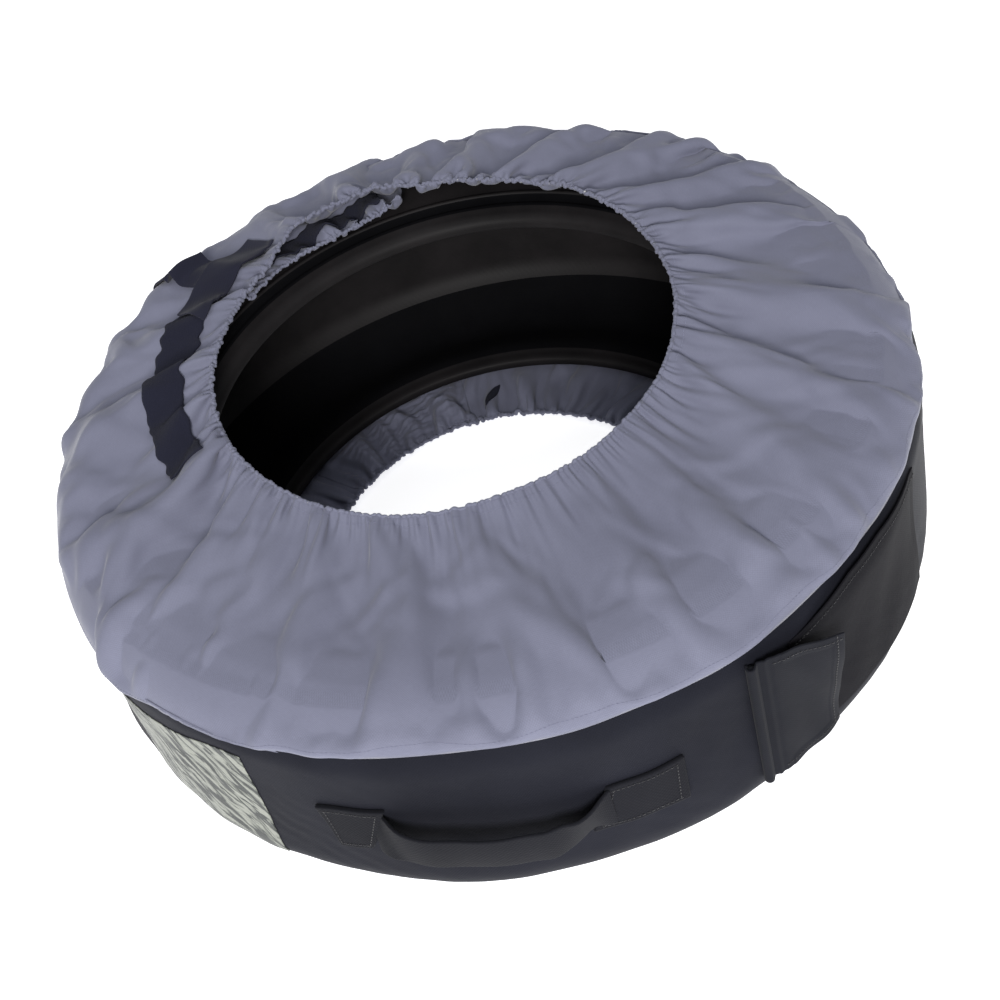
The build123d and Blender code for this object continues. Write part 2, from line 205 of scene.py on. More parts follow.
def hook_and_loop(name, dark, light):
    """Fuzzy loop pile with a woven selvedge."""
    shader = Shader(name)
    place = shader.object_place()
    pile = shader.noise(place, 1100, 4, 0.75)
    tufts = shader.node("ShaderNodeTexVoronoi", {"Vector": place, "Scale": 700.0}).outputs[0]
    rubbed = shader.noise(place, 30, 5, 0.6)
    base = shader.mix(rubbed, dark, light)
    normal = shader.bump(pile, 0.8, 0.0008)
    normal = shader.bump(tufts, 0.5, 0.0006, normal)
    return shader.finish(colour=base, rough=0.95, normal=normal, sheen=0.04, sheen_rough=0.6,
                         specular=0.1)


def thread(name, colour):
    """Twisted sewing thread."""
    shader = Shader(name)
    twist = shader.noise(shader.object_place(), 2500, 2)
    base = shader.mix(twist, tuple(0.7 * c for c in colour), tuple(1.3 * c for c in colour))
    return shader.finish(colour=base, rough=0.6, normal=shader.bump(twist, 0.4, 0.0002),
                         sheen=0.2, specular=0.3)


def rubber(name, dark, light, rough, rib_pitch, specular):
    """Moulded tyre rubber with fine vent ribs, bloom and dust."""
    shader = Shader(name)
    place = shader.object_place()
    split = shader.node("ShaderNodeSeparateXYZ", {"Vector": shader.flat_place()})
    slant = shader.math("MULTIPLY_ADD", split.outputs[1], 0.6, split.outputs[0])
    ribs = shader.math("SINE", shader.math("MULTIPLY", slant, 2 * pi / rib_pitch))
    bloom = shader.noise(place, 14, 6, 0.65)
    grain = shader.noise(place, 900, 3)
    base = shader.ramp(bloom, [(0.35, dark), (0.75, light)])
    normal = shader.bump(ribs, 0.03, 0.0005)
    normal = shader.bump(grain, 0.25, 0.0003, normal)
    roughness = shader.math("MULTIPLY_ADD", bloom, 0.2, rough - 0.1)
    return shader.finish(colour=base, rough=roughness, normal=normal, specular=specular)


def printed_patch(name):
    """Light cloth printed with long broken dark streaks, like tread marks."""
    shader = Shader(name)
    flat = shader.flat_place()
    marks = []
    for turn, scale, seed in ((57, (26, 200, 1), 1.0), (41, (36, 150, 1), 1.2)):
        turned = shader.node("ShaderNodeMapping", {"Vector": flat, "Rotation": (0, 0, radians(turn))})
        drawn = shader.node("ShaderNodeMapping", {"Vector": turned.outputs[0], "Scale": scale})
        marks.append(shader.noise(drawn.outputs[0], seed, 3, 0.55, 0.6))
    marks = shader.math("MINIMUM", *marks)
    light, mid, dark = (0.25, 0.26, 0.225), (0.13, 0.14, 0.12), (0.022, 0.026, 0.024)
    base = shader.ramp(marks, [(0.42, dark), (0.46, mid), (0.52, light), (0.7, light)])
    weave = plain_weave(shader, 0.0009)
    normal = shader.bump(weave, 0.3, 0.0003)
    return shader.finish(colour=base, rough=0.6, normal=normal, sheen=0.1, specular=0.35)


def steel_cord(name):
    """Drawn steel with fine lengthwise lines."""
    shader = Shader(name)
    place = shader.node("ShaderNodeMapping", {"Vector": shader.object_place(), "Scale": (1, 1, 40)})
    lines = shader.noise(place.outputs[0], 60, 4)
    base = shader.ramp(lines, [(0.3, (0.25, 0.25, 0.26)), (0.7, (0.55, 0.55, 0.56))])
    return shader.finish(colour=base, rough=0.4, metal=1.0, normal=shader.bump(lines, 0.2, 0.0002))


PANEL_DARK, PANEL_LIGHT = (0.150, 0.155, 0.210), (0.180, 0.186, 0.250)
WALL_DARK, WALL_LIGHT = (0.0078, 0.0083, 0.0130), (0.0130, 0.0138, 0.0205)
MATERIALS = {
    "panel_fabric": woven_cloth("slate_cloth", PANEL_DARK, PANEL_LIGHT, 0.0007, 0.66, 0.18, 0.22),
    "wall_fabric": woven_cloth("charcoal_cloth", WALL_DARK, WALL_LIGHT, 0.0011, 0.78, 0.05, 0.25),
    "strap_fabric": woven_cloth("strap_cloth", (0.0058, 0.0056, 0.0076), (0.0092, 0.0088, 0.0115),
                                0.0011, 0.80, 0.02, 0.25),
    "flap_fabric": woven_cloth("flap_cloth", (0.0085, 0.0090, 0.0125), (0.0135, 0.0142, 0.0190),
                               0.0011, 0.78, 0.04, 0.3),
    "tab_tape": woven_cloth("tab_tape", (0.015, 0.0155, 0.027), (0.024, 0.025, 0.042), 0.0011,
                            0.85, 0.08, 0.4),
    "webbing": woven_cloth("webbing", (0.0070, 0.0072, 0.0096), (0.0115, 0.0118, 0.0155),
                           0.0016, 0.80, 0.03, 0.5),
    "hook_and_loop": hook_and_loop("loop_tape", (0.010, 0.0105, 0.020), (0.017, 0.018, 0.033)),
    "stitch_thread": thread("dark_thread", (0.005, 0.005, 0.007)),
    "panel_thread": thread("slate_thread", (0.17, 0.175, 0.25)),
    "patch_print": printed_patch("patch_print"),
    "elastic_cord": thread("covered_elastic", (0.5, 0.5, 0.5)),
    "tyre_rubber": rubber("tyre_rubber", (0.0075, 0.0068, 0.0072), (0.0150, 0.0132, 0.0140),
                          0.60, 0.004, 0.15),
    # Near-black liner rubber: partly the liner's own black rubber, partly painted shade of the tyre's covered
    # cavity.
    "liner_rubber": rubber("liner_rubber", (0.0022, 0.0022, 0.0028), (0.0042, 0.0042, 0.0050),
                           0.85, 0.012, 0.05),
    "steel_cord": steel_cord("steel_cord"),
}


# ---------------- small mesh tools

def ripple(angle, waves, seed):
    """Smooth periodic noise of about unit height."""
    random = np.random.default_rng(seed)
    total = np.zeros_like(angle)
    for count in waves:
        total += random.normal() * np.cos(count * angle + random.uniform(0, 2 * pi))
    return total / np.sqrt(len(waves))


def smooth_step(value, start, end):
    """0 before start, 1 after end, smooth between."""
    t = np.clip((value - start) / (end - start), 0, 1)
    return t * t * (3 - 2 * t)


def ring_angles(count):
    """Even angles round the ring."""
    return np.arange(count) * 2 * pi / count


def ring_blur(values, passes, axis):
    """Repeated averaging round the ring."""
    for _ in range(passes):
        values = (np.roll(values, 1, axis) + 2 * values + np.roll(values, -1, axis)) / 4
    return values


def tangent_frame(angle):
    """Unit vectors outwards and round the ring at an angle about +Z."""
    return np.array([cos(angle), sin(angle), 0]), np.array([-sin(angle), cos(angle), 0])


def new_object(name, mesh, finish):
    """Smooth object with its material."""
    mesh.polygons.foreach_set("use_smooth", np.ones(len(mesh.polygons), bool))
    mesh.materials.append(MATERIALS[finish])
    made = bpy.data.objects.new(name, mesh)
    bpy.context.collection.objects.link(made)
    return made


def grid_faces(rows, columns, closed, crossed):
    """Row and column of each face's corners, and the faces' point numbers."""
    spans = columns if closed else columns - 1
    bands = rows if crossed else rows - 1
    j, i = np.meshgrid(np.arange(bands), np.arange(spans), indexing="ij")
    j, i = j.ravel(), i.ravel()
    corners = [(j, i), (j, i + 1), (j + 1, i + 1), (j + 1, i)]
    return corners, np.stack([(a % rows) * columns + b % columns for a, b in corners], -1)


def grid_object(name, points, flat, closed, finish, flip=False, crossed=False):
    """Mesh from a grid of points, rows by columns. flat holds each row's and column's cloth place.
    closed joins the last column to the first, and crossed joins the last row to the first."""
    corners, faces = grid_faces(*points.shape[:2], closed, crossed)
    if flip:
        corners, faces = corners[::-1], faces[:, ::-1]
    mesh = bpy.data.meshes.new(name)
    mesh.from_pydata(points.reshape(-1, 3).tolist(), [], faces.tolist())
    across, along = flat
    places = np.stack([np.stack([along[b], across[a]], -1) for a, b in corners], 1)
    layer = mesh.uv_layers.new(name="flat_cloth")
    layer.data.foreach_set("uv", places.astype(np.float32).ravel())
    return new_object(name, mesh, finish)


def line_lengths(points):
    """Running length along the first axis of an array of points."""
    gaps = np.linalg.norm(np.diff(points, axis=0), axis=-1)
    return np.concatenate([[0.0], np.cumsum(gaps)])


def on_line(places, run, line):
    """Points at places along a line, from its running lengths."""
    return np.stack([np.interp(places, run, line[:, k]) for k in range(3)], -1)


def sheet_object(name, points, finish, thickness, closed=False, flip=False, bevel=0.0):
    """Cloth of one thickness from a grid of points, thickened to the inside."""
    across = line_lengths(points[:, points.shape[1] // 2])
    along = line_lengths(points[points.shape[0] // 2])
    if closed:
        along = np.append(along, along[-1] + along[1])
    made = grid_object(name, points, (across, along), closed, finish, flip)
    thick = made.modifiers.new("thickness", "SOLIDIFY")
    thick.thickness = thickness
    thick.offset = -1
    if bevel:
        edge = made.modifiers.new("soft_edge", "BEVEL")
        edge.width = bevel
        edge.segments = 2
        edge.limit_method = "ANGLE"
        edge.angle_limit = radians(50)
    return made


def smooth_line(points, steps):
    """Catmull-Rom line through a few given points."""
    points = np.array(points, float)
    padded = np.concatenate([[2 * points[0] - points[1]], points, [2 * points[-1] - points[-2]]])
    t = np.linspace(0, len(points) - 1, steps)
    span = np.minimum(t.astype(int), len(points) - 2)
    t = (t - span)[:, None]
    a, b, c, d = (padded[span + k] for k in range(4))
    square, cube = 2 * a - 5 * b + 4 * c - d, 3 * b - a - 3 * c + d
    return 0.5 * (2 * b + (c - a) * t + square * t**2 + cube * t**3)


def tube_object(name, centres, radius, sides, closed, finish):
    """Tube round a line of points. radius is one number or one per point."""
    count = len(centres)
    ahead = np.roll(centres, -1, 0) - np.roll(centres, 1, 0)
    if not closed:
        ahead[0], ahead[-1] = centres[1] - centres[0], centres[-1] - centres[-2]
    ahead /= np.linalg.norm(ahead, axis=1, keepdims=True)
    up = np.tile([0.0, 0.0, 1.0], (count, 1))
    if abs(ahead[0][2]) > 0.9:
        up = np.tile([1.0, 0.0, 0.0], (count, 1))
    side = np.cross(ahead, up)
    side /= np.linalg.norm(side, axis=1, keepdims=True)
    top = np.cross(side, ahead)
    radius = np.broadcast_to(radius, (count,))[None, :, None]
    turn = np.arange(sides)[:, None, None] * 2 * pi / sides
    points = centres[None] + radius * (np.cos(turn) * side[None] + np.sin(turn) * top[None])
    across = np.arange(sides + 1) * 2 * pi * float(radius.mean()) / sides
    along = line_lengths(centres)
    if closed:
        along = np.append(along, along[-1] + along[1])
    made = grid_object(name, points, (across, along), closed, finish, crossed=True)
    if not closed:
        shape = bmesh.new()
        shape.from_mesh(made.data)
        bmesh.ops.holes_fill(shape, edges=[e for e in shape.edges if e.is_boundary], sides=0)
        shape.to_mesh(made.data)
        shape.free()
    return made


# Sections of a stitch: place along it, size, and height. Its ends sink into the cloth.
STITCH_SECTIONS = ((-0.5, 0.45, -0.6), (-0.3, 0.9, 0.2), (0.3, 0.9, 0.2), (0.5, 0.45, -0.6))
STITCH_LIFT = 0.0001  # stitches lie just off the cloth


def stitch_object(name, lines, finish="stitch_thread", spacing=0.0034, length=0.0026, thick=0.0004):
    """Rows of separate stitches along lines of (points, normals), joined in one mesh."""
    verts, faces = [], []
    ring = 5
    for points, normals in lines:
        run = line_lengths(points)
        places = np.arange(spacing / 2, run[-1], spacing)
        ahead = on_line(places + 0.001, run, points) - on_line(places - 0.001, run, points)
        ahead /= np.linalg.norm(ahead, axis=1, keepdims=True) + 1e-12
        normal = on_line(places, run, normals)
        side = np.cross(normal, ahead)
        for c, n, a, s in zip(on_line(places, run, points), normal, ahead, side):
            first = len(verts)
            for shift, size, sink in STITCH_SECTIONS:
                for turn in ring_angles(ring):
                    out = n * (sin(turn) * size + sink) + s * cos(turn) * size
                    verts.append(c + a * length * shift + out * thick)
            for band in range(3):
                for k in range(ring):
                    q = first + band * ring
                    faces.append((q + k, q + (k + 1) % ring, q + ring + (k + 1) % ring, q + ring + k))
            faces.append(tuple(first + k for k in reversed(range(ring))))
            faces.append(tuple(first + 3 * ring + k for k in range(ring)))
    mesh = bpy.data.meshes.new(name)
    mesh.from_pydata([tuple(v) for v in verts], [], faces)
    return new_object(name, mesh, finish)


def surface_tree(points, closed):
    """Search tree of a grid surface, for laying other pieces on it."""
    _, faces = grid_faces(*points.shape[:2], closed, False)
    return BVHTree.FromPolygons(points.reshape(-1, 3).tolist(), faces.tolist())


def blur(values, passes, axis):
    """Repeated averaging along one axis of a grid, with its ends kept in place."""
    values = np.moveaxis(values.copy(), axis, 0)
    for _ in range(passes if len(values) > 2 else 0):
        values[1:-1] = (values[:-2] + 2 * values[1:-1] + values[2:]) / 4
        values[0] = (values[0] * 3 + values[1]) / 4
        values[-1] = (values[-1] * 3 + values[-2]) / 4
    return np.moveaxis(values, 0, axis)


def distance_to(trees, origin, direction):
    """Distance along a ray to the nearest surface. A ray that slips between two faces is nudged."""
    for nudge in (0, 0.00023, -0.00031, 0.00047):
        start = Vector(origin) + Vector((nudge, 0.7 * nudge, -0.6 * nudge))
        hits = [tree.ray_cast(start, Vector(direction), REACH) for tree in trees]
        found = [hit[3] for hit in hits if hit[0] is not None]
        if found:
            return min(found)
    return np.nan


def lay(origins, inwards, trees, lift, soften):
    """Lays a grid on surfaces: casts from origins along inwards, then smooths what it finds,
    stays above it, and lifts it off by lift."""
    reach = np.array([distance_to(trees, origins[k], inwards[k]) for k in np.ndindex(*origins.shape[:2])])
    reach = reach.reshape(origins.shape[:2])
    reach[np.isnan(reach)] = np.nanmedian(reach)
    smooth = blur(blur(reach, soften, 0), soften, 1)
    above = np.pad(np.maximum(smooth - reach, 0), 1, mode="edge")
    above = np.maximum.reduce([above[1:-1, 1:-1], above[:-2, 1:-1], above[2:, 1:-1],
                               above[1:-1, :-2], above[1:-1, 2:]])
    above = np.maximum(blur(blur(above, 4, 0), 4, 1), smooth - reach)
    return origins + inwards * (smooth - above - lift)[..., None]


# ---------------- the cover's own surface

def skin_frame(run):
    """Section of the cover by length along it, up from the wall's middle: radius, height,
    and how far outwards and upwards it faces."""
    turn = np.sign(run) * np.maximum(np.abs(run) - WALL_HALF, 0) / SHOULDER
    height = COVER_HEIGHT / 2 + np.clip(run, -WALL_HALF, WALL_HALF) + SHOULDER * np.sin(turn)
    return SHOULDER_CENTRE + SHOULDER * np.cos(turn), height, np.cos(turn), np.sin(turn)


# The upper seam sits low beside the patch and lowest left of it: angle in degrees, and drop in mm.
SEAM_DROP = np.array([(-176, 32), (-158, 34), (-146, 30), (-138, 15), (-131, 9), (-119, 5.5),
                      (-112, 2.5), (-104, 0.5), (-92, 0), (-85, 3.5), (-78, 7), (-70, 3), (-62, 5),
                      (-54, 2), (-40, 1), (-28, 4), (-18, 7), (0, 4), (60, 0), (130, 3), (160, 22)])


WALL_UNDER = 0.019  # the wall's cloth reaches under the tyre


def seam_line(angle, side):
    """A seam's place along the skin and how far out it stands. side is 1 for the upper seam."""
    seed = 5 if side > 0 else 15
    run = side * SEAM_PLACE + 0.0018 * ripple(angle, range(3, 13), seed + 1)
    if side < 0:
        run = run - WALL_UNDER
    else:
        drop = np.interp(np.degrees(angle), SEAM_DROP[:, 0], SEAM_DROP[:, 1], period=360)
        run = run - 0.001 * ring_blur(drop, len(angle) // 24, 0)
    return run, 0.0010 * ripple(angle, range(3, 15), seed)


def on_ring(angle, radius, height):
    """Points from angles about +Z, radii and heights."""
    return np.stack(np.broadcast_arrays(radius * np.cos(angle), radius * np.sin(angle), height), -1)


def on_skin(angle, run, out):
    """Points from angles, lengths along the skin, and distances outside it."""
    radius, height, outwards, upwards = skin_frame(run)
    return on_ring(angle, radius + out * outwards, height + out * upwards)


TUCK = 0.0022  # the wall runs on under the panels' edges


def wall_grid(columns, rows):
    """Side wall between its two seams, slack enough to be a little wavy."""
    angle = ring_angles(columns)
    place = np.linspace(0, 1, rows)[:, None]
    low_run, low_out = seam_line(angle, -1)
    top_run, top_out = seam_line(angle, 1)
    run = (low_run - TUCK) * (1 - place) + (top_run + TUCK) * place
    middle = np.sin(pi * place)
    slack = 0.0015 * ripple(angle + 0.25 * place, range(4, 17), 21)
    slack = slack + 0.0004 * ripple(angle - 0.3 * place, range(18, 44), 22)
    slack = slack + 0.00012 * ripple(angle + 0.8 * place, range(50, 90), 23)
    sag = -0.0012 * np.cos(3 * pi * place) * (0.5 + 0.5 * ripple(angle, range(3, 9), 24))
    edge = np.maximum(smooth_step(place, 0.90, 1), smooth_step(1 - place, 0.90, 1))
    seam_out = smooth_step(place, 0.55, 1) * top_out + smooth_step(1 - place, 0.55, 1) * low_out
    out = np.maximum(middle * (slack + sag - 0.0006), -0.0016) + seam_out - 0.0018 * edge
    return on_skin(angle[None], run, out)


# ---------------- gathered cloth

def graded(rows, ratio):
    """Row places from 0 to 1, with the last gap ratio times the first."""
    gaps = np.linspace(1, ratio, rows - 1)
    return np.concatenate([[0], np.cumsum(gaps)]) / gaps.sum()


def pull_pair(first, second, rest, stiffness):
    """Moves two sets of points, half each, towards their rest distance."""
    apart = second - first
    length = np.sqrt((apart * apart).sum(-1, keepdims=True)) + 1e-12
    change = apart * (0.5 * stiffness * (1 - rest / length))
    first += change
    second -= change


def pull_along(points, rest):
    """Threads that run round the ring."""
    rows, columns, _ = points.shape
    for turn in (0, 1):
        turned = np.roll(points, -turn, axis=1)
        pairs = turned.reshape(rows, columns // 2, 2, 3)
        pull_pair(pairs[:, :, 0], pairs[:, :, 1], rest[:, turn::2, None], 0.9)
        points[:] = np.roll(turned, turn, axis=1)


def pull_across(points, rest):
    """Threads that run from the seam to the hem."""
    rows = len(points)
    for start in (0, 1):
        first, second = points[start:rows - 1:2], points[start + 1:rows:2]
        pull_pair(first, second, rest[start:rows - 1:2][..., None], 0.9)


def pull_bias(points, rest, side, stiffness):
    """Cloth's weak hold against shear, along one diagonal."""
    rows = len(points)
    for start in (0, 1):
        first = points[start:rows - 1:2]
        second = np.roll(points[start + 1:rows:2], -side, axis=1)
        pull_pair(first, second, rest[start:rows - 1:2][..., None], stiffness)
        points[start + 1:rows:2] = np.roll(second, side, axis=1)


def resist_bending(points, along, across):
    """Takes out sharp curvature in both thread directions."""
    curve = np.roll(points, 1, axis=1) + np.roll(points, -1, axis=1) - 2 * points
    points -= along * (np.roll(curve, 1, axis=1) + np.roll(curve, -1, axis=1) - 2 * curve)
    curve = points[2:] + points[:-2] - 2 * points[1:-1]
    points[2:-2] -= across * (curve[2:] + curve[:-2] - 2 * curve[1:-1])


def settle(points, along, across, passes, limits, hem, weight):
    """Position-based cloth: thread lengths, shear, bending, weight, the elastic's pull and contact."""
    before, seam = points.copy(), points[0].copy()
    bias = np.sqrt(along[:-1] ** 2 + across ** 2)
    for _ in range(passes):
        speed = (points - before) * 0.92
        before[:] = points
        points += speed
        points[..., 2] -= weight
        for _ in range(2):
            pull_along(points, along)
            pull_across(points, across)
        for side in (1, -1):
            pull_bias(points, bias, side, 0.05)
        resist_bending(points, 0.018, 0.012)
        points[-1] += (hem - points[-1]) * 0.25
        points[0] = seam
        lowest, highest = limits(points)
        height = np.clip(points[..., 2], lowest, highest)
        touched = height != points[..., 2]
        points[..., 2] = height
        before[touched] = points[touched]
    return points


def refine(points, old, new):
    """Twice the columns, and new row places."""
    row = np.clip(np.searchsorted(old, new, side="right") - 1, 0, len(old) - 2)
    share = ((new - old[row]) / (old[row + 1] - old[row]))[:, None, None]
    points = points[row] * (1 - share) + points[row + 1] * share
    between = 9 * (points + np.roll(points, -1, 1)) - np.roll(points, 1, 1) - np.roll(points, -2, 1)
    finer = np.empty((points.shape[0], points.shape[1] * 2, 3))
    finer[:, 0::2], finer[:, 1::2] = points, between / 16
    return finer


def panel_guide(angle, place, side, hem):
    """Straight start for a panel: from its seam round the shoulder, then straight to its hem.
    Returns the grid and each column's length."""
    seam_run, seam_out = seam_line(angle, side)
    share = np.linspace(0, 1, 12)[:, None]
    shoulder = on_skin(angle[None], seam_run * (1 - share) + side * CREST_PLACE * share,
                       (seam_out + 0.0004) * (1 - share))
    share = np.linspace(0, 1, 14)[1:, None, None]
    stations = np.concatenate([shoulder, shoulder[-1] * (1 - share) + hem * share])
    gaps = np.linalg.norm(np.diff(stations, axis=0), axis=-1)
    run = np.concatenate([np.zeros((1, len(angle))), np.cumsum(gaps, 0)])
    grid = np.empty((len(place), len(angle), 3))
    for i in range(len(angle)):
        for axis in range(3):
            grid[:, i, axis] = np.interp(place * run[-1, i], run[:, i], stations[:, i, axis])
    return grid, run[-1]


def gather(levels, side, hem_line, fullness, slack, folds, limits, weight, seed):
    """Simulates a gathered ring of cloth from coarse to fine, adding fullness at each level.
    Returns the grid of points and the row places."""
    random = np.random.default_rng(seed)
    points = None
    for level, (columns, rows, passes, bumps) in enumerate(levels):
        angle = ring_angles(columns)
        place = graded(rows, 0.35)
        hem = hem_line(angle)
        guide, length = panel_guide(angle, place, side, hem)
        points = guide.copy() if level == 0 else refine(points, old_place, place)
        spare = fullness(place, level)
        even = np.linalg.norm(np.roll(guide, -1, 1) - guide, axis=-1).mean(1)
        along = (even * (1 + spare))[:, None] * (1 + 0.7 * spare[:, None] * np.cos(angle - FAR_SIDE)[None])
        across = np.diff(place)[:, None] * (length + slack(angle))[None]
        noise = random.normal(size=(rows, columns))
        noise = ring_blur(noise, 2 if level < 2 else 1, 1)
        for _ in range(6):
            noise[1:-1] = (noise[:-2] + noise[2:] + 2 * noise[1:-1]) / 4
        noise *= bumps * np.clip(spare / 0.05, 0, 1)[:, None] / noise.std()
        points[..., 2] += noise
        if level == 0:
            points[..., 2] += folds(angle[None], place[:, None])
        points = settle(points, along, across, passes, limits, hem, weight / 2**level)
        old_place = place
    return points, place


def top_hem_line(angle):
    """The top opening's elastic, which rises away from the handle's side."""
    x = HEM_CENTRE[0] + HEM_RADIUS * np.cos(angle)
    y = HEM_CENTRE[1] + HEM_RADIUS * np.sin(angle)
    rise = (x - HEM_CENTRE[0]) * cos(RISE_ANGLE) + (y - HEM_CENTRE[1]) * sin(RISE_ANGLE)
    wave = 0.0015 * ripple(angle, range(3, 12), 31)
    return np.stack([x, y, HEM_CENTRE[2] + HEM_SLOPE * rise + wave], -1)


def bottom_hem_line(angle):
    """The bottom opening's elastic, on the floor."""
    x = BOTTOM_HEM_CENTRE[0] + BOTTOM_HEM_RADIUS * np.cos(angle)
    y = BOTTOM_HEM_CENTRE[1] + BOTTOM_HEM_RADIUS * np.sin(angle)
    return np.stack([x, y, np.full_like(x, BOTTOM_HEM_CENTRE[2])], -1)


# Outline that the top panel rests on: radius and height. Inside the bead it has no floor.
TYRE_SIDE = np.array([[0, -1], [0.2049, -1], [0.205, 0.176], [0.216, 0.179], [0.240, 0.186],
                      [0.262, 0.1905], [0.285, 0.1905], [0.300, 0.1870], [0.312, 0.1800],
                      [0.318, 0.1740], [0.322, 0.1675], [0.3255, 0.1560], [0.3262, 0.1000]])


def above_tyre(points):
    """The top panel rests on the tyre's sidewall, lower on the far side, and hangs free inside the bead."""
    radius = np.hypot(points[..., 0], points[..., 1])
    far = 0.5 + 0.5 * np.cos(np.arctan2(points[..., 1], points[..., 0]) - FAR_SIDE)
    height = np.interp(radius, TYRE_SIDE[:, 0], TYRE_SIDE[:, 1])
    return height - 0.0055 * far * smooth_step(radius, 0.262, 0.300), 1.0


def under_tyre(points):
    """The bottom panel lies between the floor and the tyre's lower sidewall."""
    radius = np.hypot(points[..., 0], points[..., 1])
    ceiling = np.interp(radius, [0.19, 0.2, 0.262, 0.30, 0.328], [0.06, 0.006, 0.0035, 0.010, 0.05])
    return 0.0011, ceiling


def top_fullness(place, level):
    """Spare cloth round the ring: broad folds first, then finer puckers near the elastic."""
    spare = 0.115 * smooth_step(place, 0.01, 0.33)
    if level > 0:
        spare = spare + 0.10 * np.clip((place - 0.40) / 0.5, 0, 1) ** 1.5
    if level > 1:
        spare = spare + 0.30 * np.clip((place - 0.68) / 0.32, 0, 1) ** 2.2
    return spare


def top_folds(angle, place):
    """Broad folds that start the top panel off. They run from the hem and fade towards the seam."""
    slant = 0.10 * ripple(angle, range(3, 9), 43)
    shape = ripple(angle + slant * (1 - place), range(19, 40), 44)
    shape = np.sign(shape) * np.abs(shape) ** 0.8
    calm = 1 - 0.75 * np.exp(-((np.mod(angle, 2 * pi) - radians(168)) / radians(30)) ** 2)
    far = 0.5 + 0.5 * np.cos(angle - radians(85))
    size = 0.0070 * (1 - 0.25 * far) * calm
    return size * shape * smooth_step(place, 0.0, 0.34) + 0.003 * np.sin(pi * place)


def bottom_folds(angle, place):
    """Small folds that start the bottom panel off."""
    return 0.0015 * ripple(angle, range(20, 44), 46) * smooth_step(place, 0.4, 0.9)


def top_slack(angle):
    """Spare cloth from seam to hem: taut on the handle's side, slack behind the opening."""
    far = 0.5 + 0.5 * np.cos(angle - FAR_SIDE)
    return 0.003 + 0.011 * far**1.5


def bottom_slack(angle):
    """Spare cloth of the bottom panel from seam to hem."""
    return 0.004 + 0 * angle


def bottom_fullness(place, level):
    """Spare cloth of the bottom panel, which shows only inside the tyre's bead."""
    return (0.04 + 0.10 * level) * smooth_step(place, 0.45, 1.0)


def fine_gathers(cloth, place, side, limits, seed):
    """Finer columns, with puckers beside the elastic, scattered creases and a welt at the seam."""
    finer = 1 - (1 - np.linspace(0, 1, len(place) + 10)) ** 1.15
    cloth = refine(cloth, place, finer)
    angle = ring_angles(cloth.shape[1])
    normal = np.cross(np.roll(cloth, -1, 1) - np.roll(cloth, 1, 1), np.gradient(cloth, axis=0))
    normal *= side / (np.linalg.norm(normal, axis=-1, keepdims=True) + 1e-12)
    turned = angle[None] + 0.02 * ripple(angle, range(20, 70), seed)[None] * (1 - finer[:, None])
    share = finer[:, None]
    out = 0.00045 * ripple(turned, range(180, 300, 7), seed + 1) * smooth_step(share, 0.86, 0.985)
    out = out + 0.0010 * ripple(turned, range(70, 150, 4), seed + 2) * smooth_step(share, 0.60, 0.97)
    folded = creases(angle, finer, seed + 3, 190, 0.65, (0.018, 0.055), (0.0034, 0.0068))
    if side > 0:
        folded = folded + creases(angle, finer, seed + 7, 36, 0.30, (0.045, 0.085), (0.0055, 0.0095))
    out = out + folded * (1 - smooth_step(share, 0.75, 0.95)) * smooth_step(share, -0.02, 0.07)
    tucks = np.exp(-(((share - 0.06) / 0.03) ** 2))
    out = out + 0.0005 * ripple(angle, range(50, 130, 4), seed + 4)[None] * tucks
    out = out + 0.0006 * (1 - smooth_step(share * PANEL_RUN, 0.0055, 0.0085))
    broad = ripple(angle + 0.08 * ripple(angle, range(3, 9), seed + 5), range(15, 46), seed + 6)
    shoulder = smooth_step(share, 0.02, 0.10) * (1 - smooth_step(share, 0.25, 0.5))
    out = out + 0.0020 * broad[None] * shoulder
    cloth = cloth + out[..., None] * normal
    lowest, highest = limits(cloth)
    clear = side * 0.0014 * smooth_step(share, 0.03, 0.10) * (1 - smooth_step(share, 0.35, 0.50))
    lowest, highest = lowest + max(side, 0) * clear, highest - max(-side, 0) * abs(clear)
    cloth[1:-1, :, 2] = np.clip(cloth[..., 2], lowest, highest)[1:-1]
    above_wall = np.maximum(side * (cloth[..., 2] - COVER_HEIGHT / 2) - WALL_HALF, 0)
    skin_radius = SHOULDER_CENTRE + np.sqrt(np.maximum(SHOULDER**2 - above_wall**2, 0))
    inside = 0.0030 * smooth_step(share, 0.04, 0.20)
    radius = np.hypot(cloth[..., 0], cloth[..., 1])
    outer = np.where(share < 0.25, np.maximum((skin_radius + 0.0004 - inside) / radius, 1), 1)
    cloth[..., :2] *= outer[..., None]
    return cloth, finer


PANEL_RUN = 0.19  # the top panel from its seam to its hem
MIDDLE_CIRCLE = 0.25  # radius of the panels' middle


def creases(angle, place, seed, count, spread, lengths, widths):
    """Soft creases scattered over a panel, each a ridge beside a groove."""
    random = np.random.default_rng(seed)
    around = MIDDLE_CIRCLE * 2 * pi
    total = np.zeros((len(place), len(angle)))
    for _ in range(count):
        middle, depth = random.uniform(0, around), random.uniform(0.008, 0.150)
        lean, bend = random.normal(0, spread), random.normal(0, 4.0)
        length, width = random.uniform(*lengths), random.uniform(*widths)
        u = (MIDDLE_CIRCLE * angle[None] - middle + around / 2) % around - around / 2
        v = PANEL_RUN * place[:, None] - depth
        down, beside = v * cos(lean) + u * sin(lean), u * cos(lean) - v * sin(lean)
        beside = (beside + bend * down**2) / width
        shape = beside * np.exp(-0.5 * beside**2) * np.exp(-((down / length) ** 4))
        total += 0.40 * width * random.uniform(0.5, 1.2) * shape
    total = blur(blur(total, 2, 0), 2, 1)
    highest = 0.0026
    return highest * np.tanh(total / highest)


